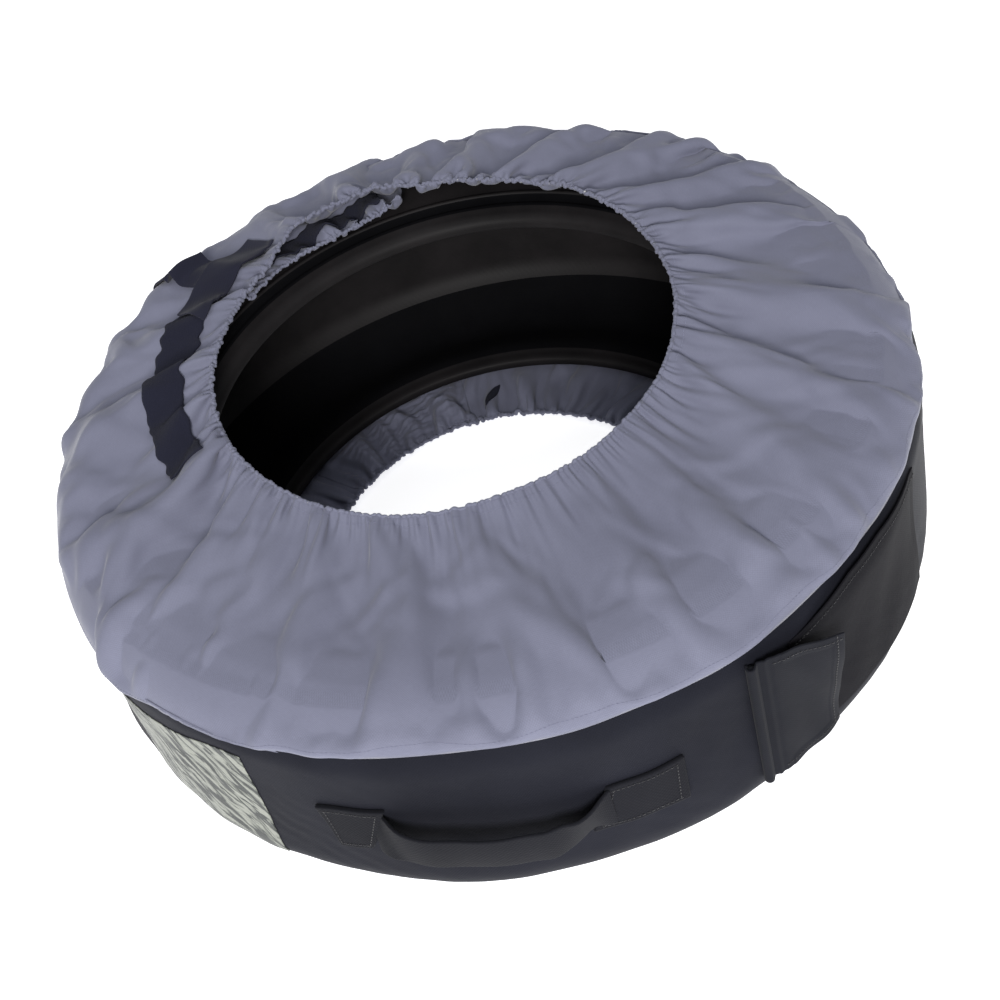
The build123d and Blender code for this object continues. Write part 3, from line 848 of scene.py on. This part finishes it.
TOP_LEVELS = [(240, 24, 160, 0.004), (480, 36, 160, 0.0015), (960, 54, 220, 0.0012)]
LOW_LEVELS = [(240, 20, 100, 0.003), (480, 34, 120, 0.0015)]


def attach(piece, body, slot, *nodes):
    """Rides on a body and stands for CAD nodes. Its slot argument is not used."""
    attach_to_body(piece, body)
    if nodes:
        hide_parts(*nodes)
    return piece


def cloth_piece(name, points, finish, thickness, node, body="root", **options):
    """Cloth in place of a CAD node, in its finish."""
    return attach(sheet_object(name, points, finish, thickness, **options), body, finish, node)


def tape_piece(name, points, thickness, node, body="root"):
    """Hook or loop tape in place of a CAD node."""
    return cloth_piece(name, points, "hook_and_loop", thickness, node, body)


# ---------------- panels and wall

CLOTH = 0.0006  # thickness of the panel cloth
HOOKS = 0.0008  # thickness of the hook tapes
LOOPS = 0.0009  # thickness of the loop tapes
SOFT_EDGE = 0.0004  # rounding of a folded cloth's edge
NOTCH = (radians(92), radians(108), radians(126), radians(143))


def notch_share(angle):
    """1 where the upper layer's end has ridden back from the opening, 0 elsewhere."""
    return smooth_step(angle, *NOTCH[:2]) * (1 - smooth_step(angle, *NOTCH[2:]))


def push_back(cloth, place, angle):
    """The end of the upper layer rides back and up, and shows the tongue underneath."""
    push = notch_share(angle)[None, :] * smooth_step(place, 0.55, 1)[:, None]
    outward = np.stack([np.cos(angle), np.sin(angle), np.zeros_like(angle)], -1)
    moved = cloth + push[..., None] * (outward * 0.017 + np.array([0, 0, 0.0025]))
    moved[..., 2] += 0.0015 * np.sin(pi * push) * ripple(angle, range(14, 40), 41)[None, :]
    return moved


def side_wall():
    """Upright wall between the two seams."""
    points = wall_grid(720, 40)
    wall = cloth_piece("side_wall_cloth", points, "wall_fabric", 0.0008, "side_wall", closed=True)
    return surface_tree(points, True)


def flatten(cloth, start, end):
    """Smooths the panel round the ring between two angles, where the tapes hold it flat."""
    angle = ring_angles(cloth.shape[1])
    held = smooth_step(angle, start, start + 0.25) * (1 - smooth_step(angle, end - 0.25, end))
    return cloth + 0.75 * held[None, :, None] * (ring_blur(cloth, 200, 1) - cloth)


def top_panel():
    """Grey panel gathered round the top opening. Returns its cloth before and after the notch."""
    cloth, place = gather(TOP_LEVELS, 1, top_hem_line, top_fullness, top_slack, top_folds,
                          above_tyre, 2e-6, 3)
    cloth = flatten(cloth, radians(112), radians(192))
    cloth, place = fine_gathers(cloth, place, 1, above_tyre, 101)
    angle = ring_angles(cloth.shape[1])
    upper = push_back(cloth, place, angle)
    panel = cloth_piece("top_panel_cloth", upper, "panel_fabric", CLOTH, "top_panel", closed=True)
    return cloth, upper, place, panel


def bottom_panel():
    """Grey panel under the tyre, gathered round the bottom opening."""
    cloth, place = gather(LOW_LEVELS, -1, bottom_hem_line, bottom_fullness, bottom_slack,
                          bottom_folds, under_tyre, 2e-6, 8)
    cloth, place = fine_gathers(cloth, place, -1, under_tyre, 111)
    return cloth, cloth_piece("bottom_panel_cloth", cloth, "panel_fabric", CLOTH, "bottom_panel",
                              closed=True, flip=True)


def hem_tube(name, edge, radius, seed, closed, node):
    """Gathered casing round the elastic: a tube along the cloth's edge, bunched in small scallops."""
    if closed:
        edge = np.concatenate([edge, edge[:1]])
    run = line_lengths(edge)
    at = np.arange(0, run[-1], 0.00045)
    line = on_line(at, run, edge)
    turn = at / run[-1] * 2 * pi
    scallops = np.abs(np.sin(pi * at / 0.0046 + 1.6 * ripple(turn, range(20, 70), seed)))
    size = radius * (0.72 + 0.34 * scallops + 0.06 * ripple(turn, range(60, 160, 5), seed + 1))
    tube = tube_object(name, line, size, 10, closed, "panel_fabric")
    return attach(tube, "root", "panel_fabric", node)


def elastic(name, edge, node):
    """Round elastic inside a hem."""
    cord = tube_object(name, edge, 0.0011, 6, True, "elastic_cord")
    return attach(cord, "root", "elastic_cord", node)


def seam_binding(name, side, node):
    """Bound edges of the seam allowance, folded flat inside the cover."""
    angle = ring_angles(720)
    run, _ = seam_line(angle, side)
    across = np.linspace(-1, 1, 9)[:, None]
    out = -0.0024 + 0.0005 * across**2
    band = on_skin(angle[None], run + side * 0.004 * across, out)
    tape = sheet_object(name, band, "panel_fabric", CLOTH, closed=True, flip=side < 0)
    attach(tape, "root", "binding_tape", node)


# ---------------- tyre

TYRE_MIDDLE = 0.097  # height of the tyre's middle plane


def tyre_profile():
    """Section of the casing from the outer crown, over both beads, back to the crown."""
    upper = [(0.312, 0.170), (0.300, 0.180), (0.285, 0.1865), (0.262, 0.1890), (0.240, 0.1852),
             (0.230, 0.1828), (0.2285, 0.1838), (0.2262, 0.1838), (0.2245, 0.1818), (0.2190, 0.1795),
             (0.2172, 0.1802), (0.2150, 0.1800), (0.2105, 0.1782), (0.2070, 0.1770), (0.2030, 0.1742),
             (0.2013, 0.1708), (0.2011, 0.1672), (0.2022, 0.1655), (0.2052, 0.1650), (0.2100, 0.1655),
             (0.2145, 0.1650), (0.2220, 0.1660), (0.2350, 0.1725), (0.2500, 0.1800), (0.2640, 0.1818),
             (0.2800, 0.1760), (0.2920, 0.1670), (0.3010, 0.1585), (0.3055, 0.1500), (0.3062, 0.1380),
             (0.3062, 0.0970)]
    top = np.array(upper)
    low = top[::-1].copy()
    low[:, 1] = 2 * TYRE_MIDDLE - low[:, 1]
    low[:, 1] -= 0.010 * np.clip((0.262 - low[:, 0]) / 0.061, 0, 1)
    low[:, 1] = np.maximum(low[:, 1], 0.0042)
    return np.concatenate([top, low[1:]])


def tyre():
    """Casing with ridged beads and a smooth, near-black liner, turned about the cover's axis. The liner's
    black is partly painted shade of the tyre's cavity.
    """
    profile = tyre_profile()
    profile = smooth_line(np.column_stack([profile, np.zeros(len(profile))]), 150)[:, :2]
    columns = 360
    angle = ring_angles(columns)
    points = on_ring(angle[None, :], profile[:, :1], profile[:, 1:2] + 0 * angle[None, :])
    across = line_lengths(np.concatenate([profile, profile[:1]]))
    along = np.arange(columns + 1) * 2 * pi * MIDDLE_CIRCLE / columns
    casing = grid_object("tyre_casing_rubber", points, (across, along), True, "tyre_rubber",
                         flip=True, crossed=True)
    casing.data.materials.append(MATERIALS["liner_rubber"])
    # Inward-facing faces inside the tyre take the near-black liner rubber, which is partly painted shade of
    # the cavity.
    liner = [int(p.center.xy.length > 0.214 and abs(p.center.z - TYRE_MIDDLE) < 0.0855
                 and p.normal.dot(Vector((p.center.x, p.center.y, 0))) < 0.2) for p in casing.data.polygons]
    casing.data.polygons.foreach_set("material_index", liner)
    attach(casing, "root", "tyre_rubber", "tyre_casing")


# ---------------- tapes on the top panel

def above(points, height=0.245):
    """The same places, high above the panel, and the way down."""
    origins = points.copy()
    origins[..., 2] = height
    down = np.zeros_like(origins)
    down[..., 2] = -1
    return origins, down


def path_grid(line, width, rows, sway=None):
    """Flat strip about a line in the XY plane: rows across, one column per point of the line."""
    ahead = np.gradient(line, axis=0)
    ahead /= np.linalg.norm(ahead, axis=1, keepdims=True)
    side = np.stack([-ahead[:, 1], ahead[:, 0]], -1)
    offsets = np.linspace(-width / 2, width / 2, rows)
    sway = np.zeros((rows, len(line))) if sway is None else sway
    flat = line[None] + side[None] * (offsets[:, None] + sway)[..., None]
    return np.concatenate([flat, np.zeros((*flat.shape[:2], 1))], -1)


def loop_tape(tree):
    """Long loop tape on the upper layer. Its outline is kinked where the panel is gathered."""
    angle = np.radians([196.5, 186, 178, 169, 160, 151, 142, 133.5])
    radius = [0.212, 0.221, 0.228, 0.2345, 0.240, 0.2445, 0.248, 0.251]
    line = smooth_line(np.stack([radius * np.cos(angle), radius * np.sin(angle), 0 * angle], -1), 150)[:, :2]
    place = np.linspace(0, 1, 150) * 2 * pi
    kink = 0.0011 * ripple(place, range(3, 14), 61)
    edges = np.linspace(-1, 1, 13)[:, None] * 0.0008 * ripple(place, range(8, 26), 62)[None]
    origins, down = above(path_grid(line, 0.030, 13, kink[None] + edges))
    points = lay(origins, down, [tree], 0.0013, 14)
    tape = tape_piece("upper_loop_tape_pile", points[::-1], LOOPS, "upper_loop_tape")
    return surface_tree(points, False), points


def tab_frame(tangent, radial):
    """Places on the pull tab, from its crossbar's middle line."""
    outward, along = tangent_frame(TAB_ANGLE)
    return tangent[..., None] * along + radial[..., None] * outward


def crossbar_grid(half_length, half_width, columns, rows):
    """Places on the crossbar, which is turned a little and bent with the rim."""
    tangent, radial = np.meshgrid(np.linspace(-half_length, half_length, columns) + 0.004,
                                  np.linspace(-half_width, half_width, rows))
    radial = 0.2465 + radial - 0.13 * tangent - 1.4 * tangent**2 + 0.0006 * np.sin(90 * tangent)
    return above(tab_frame(tangent, radial))


def pull_tab(trees):
    """Crossbar of the T-shaped tab, which grips the loop tape, with its hooks and stitches."""
    points = lay(*crossbar_grid(0.050, 0.0175, 64, 22), trees, 0.0026, 30)
    bar = sheet_object("pull_tab_crossbar", points, "tab_tape", 0.0014, bevel=SOFT_EDGE)
    attach(bar, "tab", "webbing", "pull_tab")
    hooks = points[3:-3, 4:-4] - np.array([0, 0, 0.0016])
    tape_piece("pull_tab_hooks", hooks, HOOKS, "tab_hook_patch", "tab")
    up = np.tile([0.0, 0.0, 1.0], (points.shape[1], 1))
    lines = [(points[k] + STITCH_LIFT * up, up) for k in (2, -3)]
    attach(stitch_object("pull_tab_stitches", lines), "tab", "stitch_thread")


def tab_strap(trees):
    """Strap from the crossbar over the rim and down the wall."""
    columns, height, far, foot = 16, COVER_HEIGHT - SHOULDER, 0.07, 0.109
    place = [(radial, 0.24, 0, -1) for radial in np.linspace(0.250, 0.284, 18)]
    for turn in np.linspace(radians(82), 0, 38):
        place.append((SHOULDER_CENTRE + far * cos(turn), height + far * sin(turn), -cos(turn), -sin(turn)))
    for lower in np.linspace(0.002, height - foot, 22):
        place.append((SHOULDER_CENTRE + far, height - lower, -1, 0))
    outward, along = tangent_frame(TAB_ANGLE)
    rows = len(place)
    origins, inwards = np.empty((rows, columns, 3)), np.empty((rows, columns, 3))
    for j, (radius, height, out, rise) in enumerate(place):
        tangent = np.linspace(-0.0180, 0.0180, columns) + 0.002 + 0.20 * min(radius - 0.250, 0.034)
        origins[j] = outward * radius + np.array([0, 0, height]) + tangent[:, None] * along
        inwards[j] = outward * out + np.array([0, 0, rise])
    points = lay(origins, inwards, trees, 0.0018, 8)
    strap = sheet_object("pull_tab_strap", points, "tab_tape", 0.0013, bevel=SOFT_EDGE)
    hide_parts("tab_anchor")
    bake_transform(strap)


# ---------------- overlapping ends of the panels

def tongue(cloth, place):
    """End of the panel's lower layer, gathered on the same elastic, seen in the notch."""
    count = cloth.shape[1]
    pick = np.arange(round(count * 100.5 / 360), round(count * 152 / 360))
    angle = pick * 2 * pi / count
    part = cloth[:, pick].copy()
    turned = np.roll(cloth, round(count * 9 / 360), axis=1)[:, pick]
    share = smooth_step(place, 0.45, 1)[:, None]
    part[..., 2] = part[..., 2] * (1 - share) + turned[..., 2] * share
    part[..., 2] -= 0.0024 + share * (0.0075 + 0.004 * smooth_step(angle, radians(150), radians(115)))
    part = part[np.searchsorted(place, 0.52):]
    out = part - np.array([HEM_CENTRE[0], HEM_CENTRE[1], 0])
    out[..., 2] = 0
    out /= np.linalg.norm(out, axis=-1, keepdims=True)
    free = np.linspace(0, 1, len(part))[:, None] * (1 - smooth_step(angle, radians(100.5), radians(107)))
    part = part + (out * 0.010 + np.array([0, 0, 0.003])) * free[..., None]
    piece = cloth_piece("panel_tongue_cloth", part, "panel_fabric", CLOTH, "panel_tongue")
    return part


def tongue_tape(tree):
    """Hook tape on the tongue, which the upper layer no longer covers."""
    angle = np.radians(np.linspace(105.5, 149, 110))
    flat = np.stack([HEM_CENTRE[0] + 0.1980 * np.cos(angle), HEM_CENTRE[1] + 0.1980 * np.sin(angle)], -1)
    place = np.linspace(0, 1, 110) * 2 * pi
    sway = np.linspace(-1, 1, 11)[:, None] * 0.0012 * ripple(place, range(4, 18), 66)[None]
    points = lay(*above(path_grid(flat, 0.021, 11, sway)), [tree], 0.0009, 4)
    tape_piece("tongue_tape_hooks", points[::-1], LOOPS, "tongue_tape")


def lower_overlap(cloth):
    """Crumpled tongue and tape end on the bottom panel, seen through the wheel's hole."""
    tree = surface_tree(cloth, True)
    angle, radius = np.meshgrid(np.radians(np.linspace(100, 144, 120)), np.linspace(0.1565, 0.2150, 40))
    places = on_ring(angle, radius, 0 * angle) + np.array([BOTTOM_HEM_CENTRE[0], BOTTOM_HEM_CENTRE[1], 0])
    points = lay(*above(places, 0.03), [tree], 0.0009, 2)
    inside = np.sin(pi * np.linspace(0, 1, 120))[None] * np.sin(pi * np.linspace(0, 1, 40))[:, None]
    crumple = ripple(angle * 3 + radius * 60, range(3, 22), 72)
    crumple = crumple + ripple(radius * 90 - angle * 2, range(2, 7), 73)
    points[..., 2] += 0.0022 * inside ** 0.6 * np.abs(crumple)
    piece = cloth_piece("lower_tongue_cloth", points[::-1], "panel_fabric", CLOTH, "lower_tongue")
    angle = np.radians(np.linspace(92.2, 97.2, 24))
    line = on_ring(angle, np.linspace(0.189, 0.163, 24), 0)[:, :2]
    shape = np.sin(np.linspace(0.1, pi - 0.1, 24))[None] * np.linspace(-1, 1, 7)[:, None] * 0.0036
    laid = lay(*above(path_grid(line, 0.0001, 7, shape), 0.03), [tree], 0.0020, 2)
    tape_piece("lower_tape_end", laid, LOOPS, "lower_tape")


# ---------------- pieces on the side wall

def from_outside(angle, height, radius=0.36):
    """Places outside the wall, and the way in to its axis."""
    angle, height = np.broadcast_arrays(angle, height)
    inwards = np.stack([-np.cos(angle), -np.sin(angle), 0 * angle], -1)
    return on_ring(angle, radius, height), inwards


def printed_patch_piece(tree):
    """Light patch with a printed pattern, sewn on the wall."""
    angle = np.radians(np.linspace(-143.0, -120.4, 96))[None, :]
    top = 0.133 + 0.012 * smooth_step(np.degrees(angle), -140, -121) + 0.0012 * np.sin(14 * angle)
    share = np.linspace(0, 1, 90)[:, None]
    height = 0.030 * (1 - share) + top * share
    points = lay(*from_outside(angle, height), [tree], 0.0008, 4)
    piece = cloth_piece("pattern_patch_print", points, "patch_print", 0.0005, "pattern_patch")


def corner_blend(values, along, up):
    """Values over a square from its corners: low and high on the left, then on the right."""
    left = values[0] * (1 - up) + values[1] * up
    return left * (1 - along) + (values[2] * (1 - up) + values[3] * up) * along


def sewn_end(name, angles, heights, tree, node):
    """Folded end of the handle's webbing, sewn flat on the wall. angles and heights are given at its
    four corners: low and high on the left, then on the right. Returns its lines of stitches."""
    along, up = np.meshgrid(np.linspace(0, 1, 30), np.linspace(0, 1, 22))
    angle = corner_blend(np.radians(angles), along, up)
    height = corner_blend(heights, along, up)
    origins, inwards = from_outside(angle, height)
    points = lay(origins, inwards, [tree], 0.0036, 8)
    cloth_piece(name, points, "webbing", 0.0034, node, bevel=0.0011)
    raised = points - STITCH_LIFT * inwards
    picks = [(2, slice(2, -2)), (-3, slice(2, -2)), (slice(2, -2), 3), (slice(2, -2), -4)]
    return [(raised[pick], -inwards[pick]) for pick in picks]


def handle(tree):
    """Two sewn ends and a slack loop of webbing that stands off the wall."""
    lines = sewn_end("handle_end_left_webbing", (-110.4, -111.6, -106.0, -102.8),
                     (0.0705, 0.1150, 0.0750, 0.1195), tree, "handle_end_left")
    lines += sewn_end("handle_end_right_webbing", (-80.3, -77.6, -68.5, -68.2),
                      (0.0670, 0.1090, 0.0700, 0.1130), tree, "handle_end_right")
    attach(stitch_object("handle_stitches", lines), "root", "stitch_thread", "handle_stitching")
    outward, along = tangent_frame(HANDLE_ANGLE)
    stations = np.array([(-0.0780, 0.0030, 0.0950), (-0.0660, 0.0100, 0.0955), (-0.0520, 0.0168, 0.0955),
                         (-0.0250, 0.0190, 0.0930), (0.0050, 0.0185, 0.0900), (0.0320, 0.0175, 0.0870),
                         (0.0520, 0.0135, 0.0870), (0.0680, 0.0078, 0.0885), (0.0810, 0.0030, 0.0900)])
    stations[:, 1] += np.sqrt(COVER_RADIUS**2 - stations[:, 0] ** 2)
    knots = smooth_line(stations, 130)
    centres = knots[:, :1] * along + knots[:, 1:2] * outward + knots[:, 2:] * np.array([0, 0, 1])
    place = np.linspace(0, 1, 130)
    tilt = radians(9) * np.sin(pi * place)
    tilt = tilt - radians(16) * np.exp(-((place - 0.07) / 0.09) ** 2)
    tilt = tilt + radians(20) * np.exp(-((place - 0.84) / 0.10) ** 2)
    across = np.cos(tilt)[:, None] * np.array([0, 0, 1]) + np.sin(tilt)[:, None] * outward
    face = np.cross(along, across)
    width = np.linspace(-0.5, 0.5, 20)
    crown = 0.0010 * (1 - (2 * width) ** 2)[:, None] * (0.4 + np.sin(pi * place))[None]
    points = centres[None] + (width * 0.038)[:, None, None] * across[None] + crown[..., None] * face[None]
    points = points + outward * (0.0006 * ripple(place * 2 * pi, range(3, 10), 81))[None, :, None]
    loop = cloth_piece("carry_handle_webbing", points, "webbing", 0.0024, "carry_handle", "handle",
                       bevel=0.0009)


def closing_strap(trees):
    """Wide strap of wall cloth. One end is sewn at the seam, and the rest stands loosely off the wall."""
    columns, rows = 110, 60
    share = np.linspace(0, 1, columns)[None, :]
    angle = radians(-52.6) + share * radians(29.4)
    top = np.interp(share, [0, 0.15, 0.35, 0.58, 0.82, 1], [0.153, 0.1605, 0.1670, 0.1660, 0.1600, 0.1570])
    low = 0.0470 - 0.0060 * smooth_step(share, 0.2, 1.0)
    up = np.linspace(0, 1, rows)[:, None]
    height = low * (1 - up) + top * up
    origins, inwards = from_outside(angle, height)
    points = lay(origins, inwards, trees, 0.0013, 40)
    loose = np.sin(pi * np.clip(share * 1.06, 0, 1)) ** 0.8 * (0.15 + 0.85 * smooth_step(up, 0.25, 1.0))
    loose = loose + 0.25 * (1 - share) * (1 - up)
    wave = 0.0004 * ripple(angle * 5 + up * 1.3, range(3, 9), 91)
    points = points - inwards * (0.0042 * loose + wave * (1 - share))[..., None]
    strap = sheet_object("closing_strap_cloth", points, "strap_fabric", 0.0013, bevel=SOFT_EDGE)
    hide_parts("closing_strap", "strap_root")
    start, end = (on_ring(radians(a), 0.3306, 0.1) for a in (-25.6, -29.0))
    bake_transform(strap)
    outer = -inwards
    pile = points[6:-14, 2:18] + outer[6:-14, 2:18] * 0.0009
    tape_piece("strap_loop_pile", pile, HOOKS, "strap_loop_tape", "strap")
    edge = [(points[-4, 2:] + outer[-4, 2:] * STITCH_LIFT, outer[-4, 2:])]
    seam = stitch_object("closing_strap_stitches", edge)
    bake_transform(seam)


def flap_place(x, out, height):
    """Place on the closing flap: along its tangent, out from the wall, and up."""
    outward, along = tangent_frame(FLAP_ANGLE)
    x, out, height = np.broadcast_arrays(x, out, height)
    return x[..., None] * along + out[..., None] * outward + height[..., None] * np.array([0, 0, 1])


def closing_flap():
    """Flap that wraps its piping and closes over the strap."""
    piping = 0.0037
    roll = np.linspace(radians(250), radians(62), 20)
    roll_x = piping * np.cos(roll) * 0.95
    roll_out = COVER_RADIUS + piping + piping * np.sin(roll)
    flat_x = np.linspace(0.0048, 0.0670, 72)
    share = (flat_x - flat_x[0]) / (flat_x[-1] - flat_x[0])
    flat_out = 0.3338 + 0.0010 * np.sin(pi * share) - 0.0030 * share**2 + 0.0008 * np.sin(9 * share)
    flat_out[:4] = np.linspace(0.3322, 0.3334, 4)
    x, out = np.concatenate([roll_x, flat_x]), np.concatenate([roll_out, flat_out])
    rows = 84
    up = np.linspace(0, 1, rows)[:, None]
    free = np.clip(x / 0.067, 0, 1)
    top = (0.1615 + 0.0015 * np.sin(2 * pi * free) - 0.0125 * free**2.5)[None]
    low = (0.0385 + 0.0020 * free)[None]
    height = low * (1 - up) + top * up
    border = np.maximum(smooth_step(x, 0.0570, 0.0577)[None] + 0 * up,
                        np.maximum(1 - smooth_step(height, low + 0.0085, low + 0.0092),
                                   smooth_step(height, top - 0.0092, top - 0.0085)))
    soft = 0.0008 * ripple(up * 2.4 + 2 * free[None], range(2, 9), 95) * smooth_step(x, 0.006, 0.03)[None]
    soft = soft + (0.0110 * smooth_step(up, 0.15, 1) - 0.0060 * (1 - up)) * free[None] ** 1.6
    pleat = -0.0007 * np.exp(-((x - 0.0120) / 0.0018) ** 2)
    lift = 0.0005 * border * (x > 0.02) + soft + pleat[None]
    points = flap_place(x[None] + 0 * up, out[None] + lift, height)
    flap = sheet_object("closing_flap_cloth", points, "flap_fabric", 0.0014, bevel=SOFT_EDGE)
    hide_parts("closing_flap")
    start, end = flap_place(np.array([0.0042, 0.0088]), 0.334, 0.1)
    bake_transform(flap)
    core = flap_place(np.zeros(40), COVER_RADIUS + piping, np.linspace(0.0380, 0.1600, 40))
    cord = tube_object("flap_piping_cord", core, piping * 0.8, 10, False, "flap_fabric")
    attach(cord, "root", "wall_fabric", "flap_piping")
    outward = np.tile(flap_place(0.0, 1.0, 0.0), (rows, 1))
    k = int(np.searchsorted(x, 0.0600))
    lines = [(points[:, k] + outward * STITCH_LIFT, outward)]
    across = np.tile(outward[0], (len(x) - 30, 1))
    lines += [(points[row, 30:] + across * STITCH_LIFT, across) for row in (-5, 4)]
    attach(stitch_object("closing_flap_stitches", lines), "flap", "stitch_thread")
    under = points[8:-12, 48:-8] - outward[0] * 0.0018
    tape_piece("flap_hook_pile", under, HOOKS, "flap_hook_tape", "flap")


def row_at(cloth, place, share):
    """One line of points across the cloth at a place between its seam and its hem."""
    k = min(int(np.searchsorted(place, share, side="right")) - 1, len(place) - 2)
    t = (share - place[k]) / (place[k + 1] - place[k])
    return cloth[k] * (1 - t) + cloth[k + 1] * t


def ring_normals(cloth, place, share):
    """Normals of the cloth along that line."""
    line = row_at(cloth, place, share)
    beside = row_at(cloth, place, share + 0.01) - row_at(cloth, place, share - 0.01)
    ahead = np.roll(line, -1, 0) - np.roll(line, 1, 0)
    normal = np.cross(ahead, beside)
    return line, normal / np.linalg.norm(normal, axis=1, keepdims=True)


def panel_stitches(cloth, place):
    """Rows of stitches along the outer seam and beside the gathered hem."""
    lines = []
    for share in (0.044, 0.958):
        line, normal = ring_normals(cloth, place, share)
        lines.append((line + normal * STITCH_LIFT, normal))
    seams = stitch_object("panel_stitches", lines, "panel_thread", 0.0030, 0.0022, 0.00022)
    attach(seams, "root", "stitch_thread")


wall_tree = side_wall()
top_cloth, top_layer, top_place, top_piece = top_panel()
low_cloth, low_piece = bottom_panel()
upper_edge = top_layer[-1] - np.array([0, 0, 0.0006])
low_edge = low_cloth[-1] + np.array([0, 0, 0.0012])
top_hem = hem_tube("top_hem_casing", upper_edge, 0.0016, 51, True, "top_hem")
low_hem = hem_tube("bottom_hem_casing", low_edge, 0.0017, 53, True, "bottom_hem")
top_cord = elastic("top_elastic_cord", upper_edge, "top_elastic")
low_cord = elastic("bottom_elastic_cord", low_edge, "bottom_elastic")
seam_binding("upper_binding_cloth", 1, "upper_seam_binding")
seam_binding("lower_binding_cloth", -1, "lower_seam_binding")
panel_stitches(top_layer, top_place)

tyre()
top_tree = surface_tree(top_layer, True)
tape_tree, _ = loop_tape(top_tree)
pull_tab([top_tree, tape_tree])
tab_strap([top_tree, tape_tree, wall_tree])
tongue_points = tongue(top_cloth, top_place)
tongue_edge = tongue_points[-1, 18:] - np.array([0, 0, 0.0006])
hem_tube("tongue_hem_casing", tongue_edge, 0.0014, 57, False, "tongue_hem")
tongue_tape(surface_tree(tongue_points, False))
lower_overlap(low_cloth)
printed_patch_piece(wall_tree)
handle(wall_tree)
closing_strap([wall_tree, top_tree])
closing_flap()


# ---------------- camera, light, floor

def add_camera():
    """Camera above and to the right of the handle, turned a little about its own axis."""
    target = Vector((0, 0, COVER_HEIGHT / 2))
    azimuth, elevation, roll = radians(-79.4), radians(44.13), radians(16.79)
    back = Vector((cos(elevation) * cos(azimuth), cos(elevation) * sin(azimuth), sin(elevation)))
    right = Vector((-sin(azimuth), cos(azimuth), 0))
    up = back.cross(right)
    turned_right = cos(roll) * right - sin(roll) * up
    turned_up = sin(roll) * right + cos(roll) * up
    camera = bpy.data.cameras.new("camera")
    camera.lens = 65.72
    camera.shift_x, camera.shift_y = 0.0089, -0.0359
    seat = bpy.data.objects.new("camera", camera)
    matrix = Matrix((turned_right, turned_up, back)).transposed().to_4x4()
    matrix.translation = target + back * 1.4134
    seat.matrix_world = matrix
    bpy.context.collection.objects.link(seat)
    bpy.context.scene.camera = seat


def add_light(name, place, aim, size, power, colour):
    """Square soft light that points at a place."""
    light = bpy.data.lights.new(name, "AREA")
    light.size = size
    light.energy = power
    light.color = colour
    lamp = bpy.data.objects.new(name, light)
    lamp.location = place
    lamp.rotation_euler = (Vector(aim) - Vector(place)).to_track_quat("-Z", "Y").to_euler()
    bpy.context.collection.objects.link(lamp)


def add_stage():
    """Pale floor, soft surrounding light and two studio lights."""
    bpy.ops.mesh.primitive_plane_add(size=12, location=(0, 0, CAD_BOX[0][2] - 0.0004))
    floor = bpy.context.object
    floor.name = "studio_floor"
    shader = Shader("floor")
    speckle = shader.noise(shader.object_place(), 3, 2)
    shade = shader.mix(speckle, (0.88, 0.88, 0.89), (0.90, 0.90, 0.90))
    floor.data.materials.append(shader.finish(colour=shade, rough=0.9, specular=0.1, glow=shade,
                                              glow_strength=0.85))
    world = bpy.data.worlds.new("studio")
    world.use_nodes = True
    world.node_tree.nodes["Background"].inputs[0].default_value = (0.93, 0.95, 1.0, 1)
    world.node_tree.nodes["Background"].inputs[1].default_value = 0.38
    bpy.context.scene.world = world
    add_light("key", (0.20, -3.7, 2.45), (0, 0, 0.15), 1.2, 195, (1.0, 0.99, 0.98))
    add_light("top", (-0.5, 1.2, 4.4), (0, 0, 0.1), 2.6, 34, (0.96, 0.98, 1.0))
    bpy.context.scene.view_settings.view_transform = "Standard"


add_camera()
add_stage()

slots = {row["node"]: row["material_slot"] for row in frame["record"]["subparts"]}
for node, piece in frame["nodes"].items():
    piece.data.materials.clear()
    piece.data.materials.append(MATERIALS.get(slots.get(node, ""), MATERIALS["webbing"]))
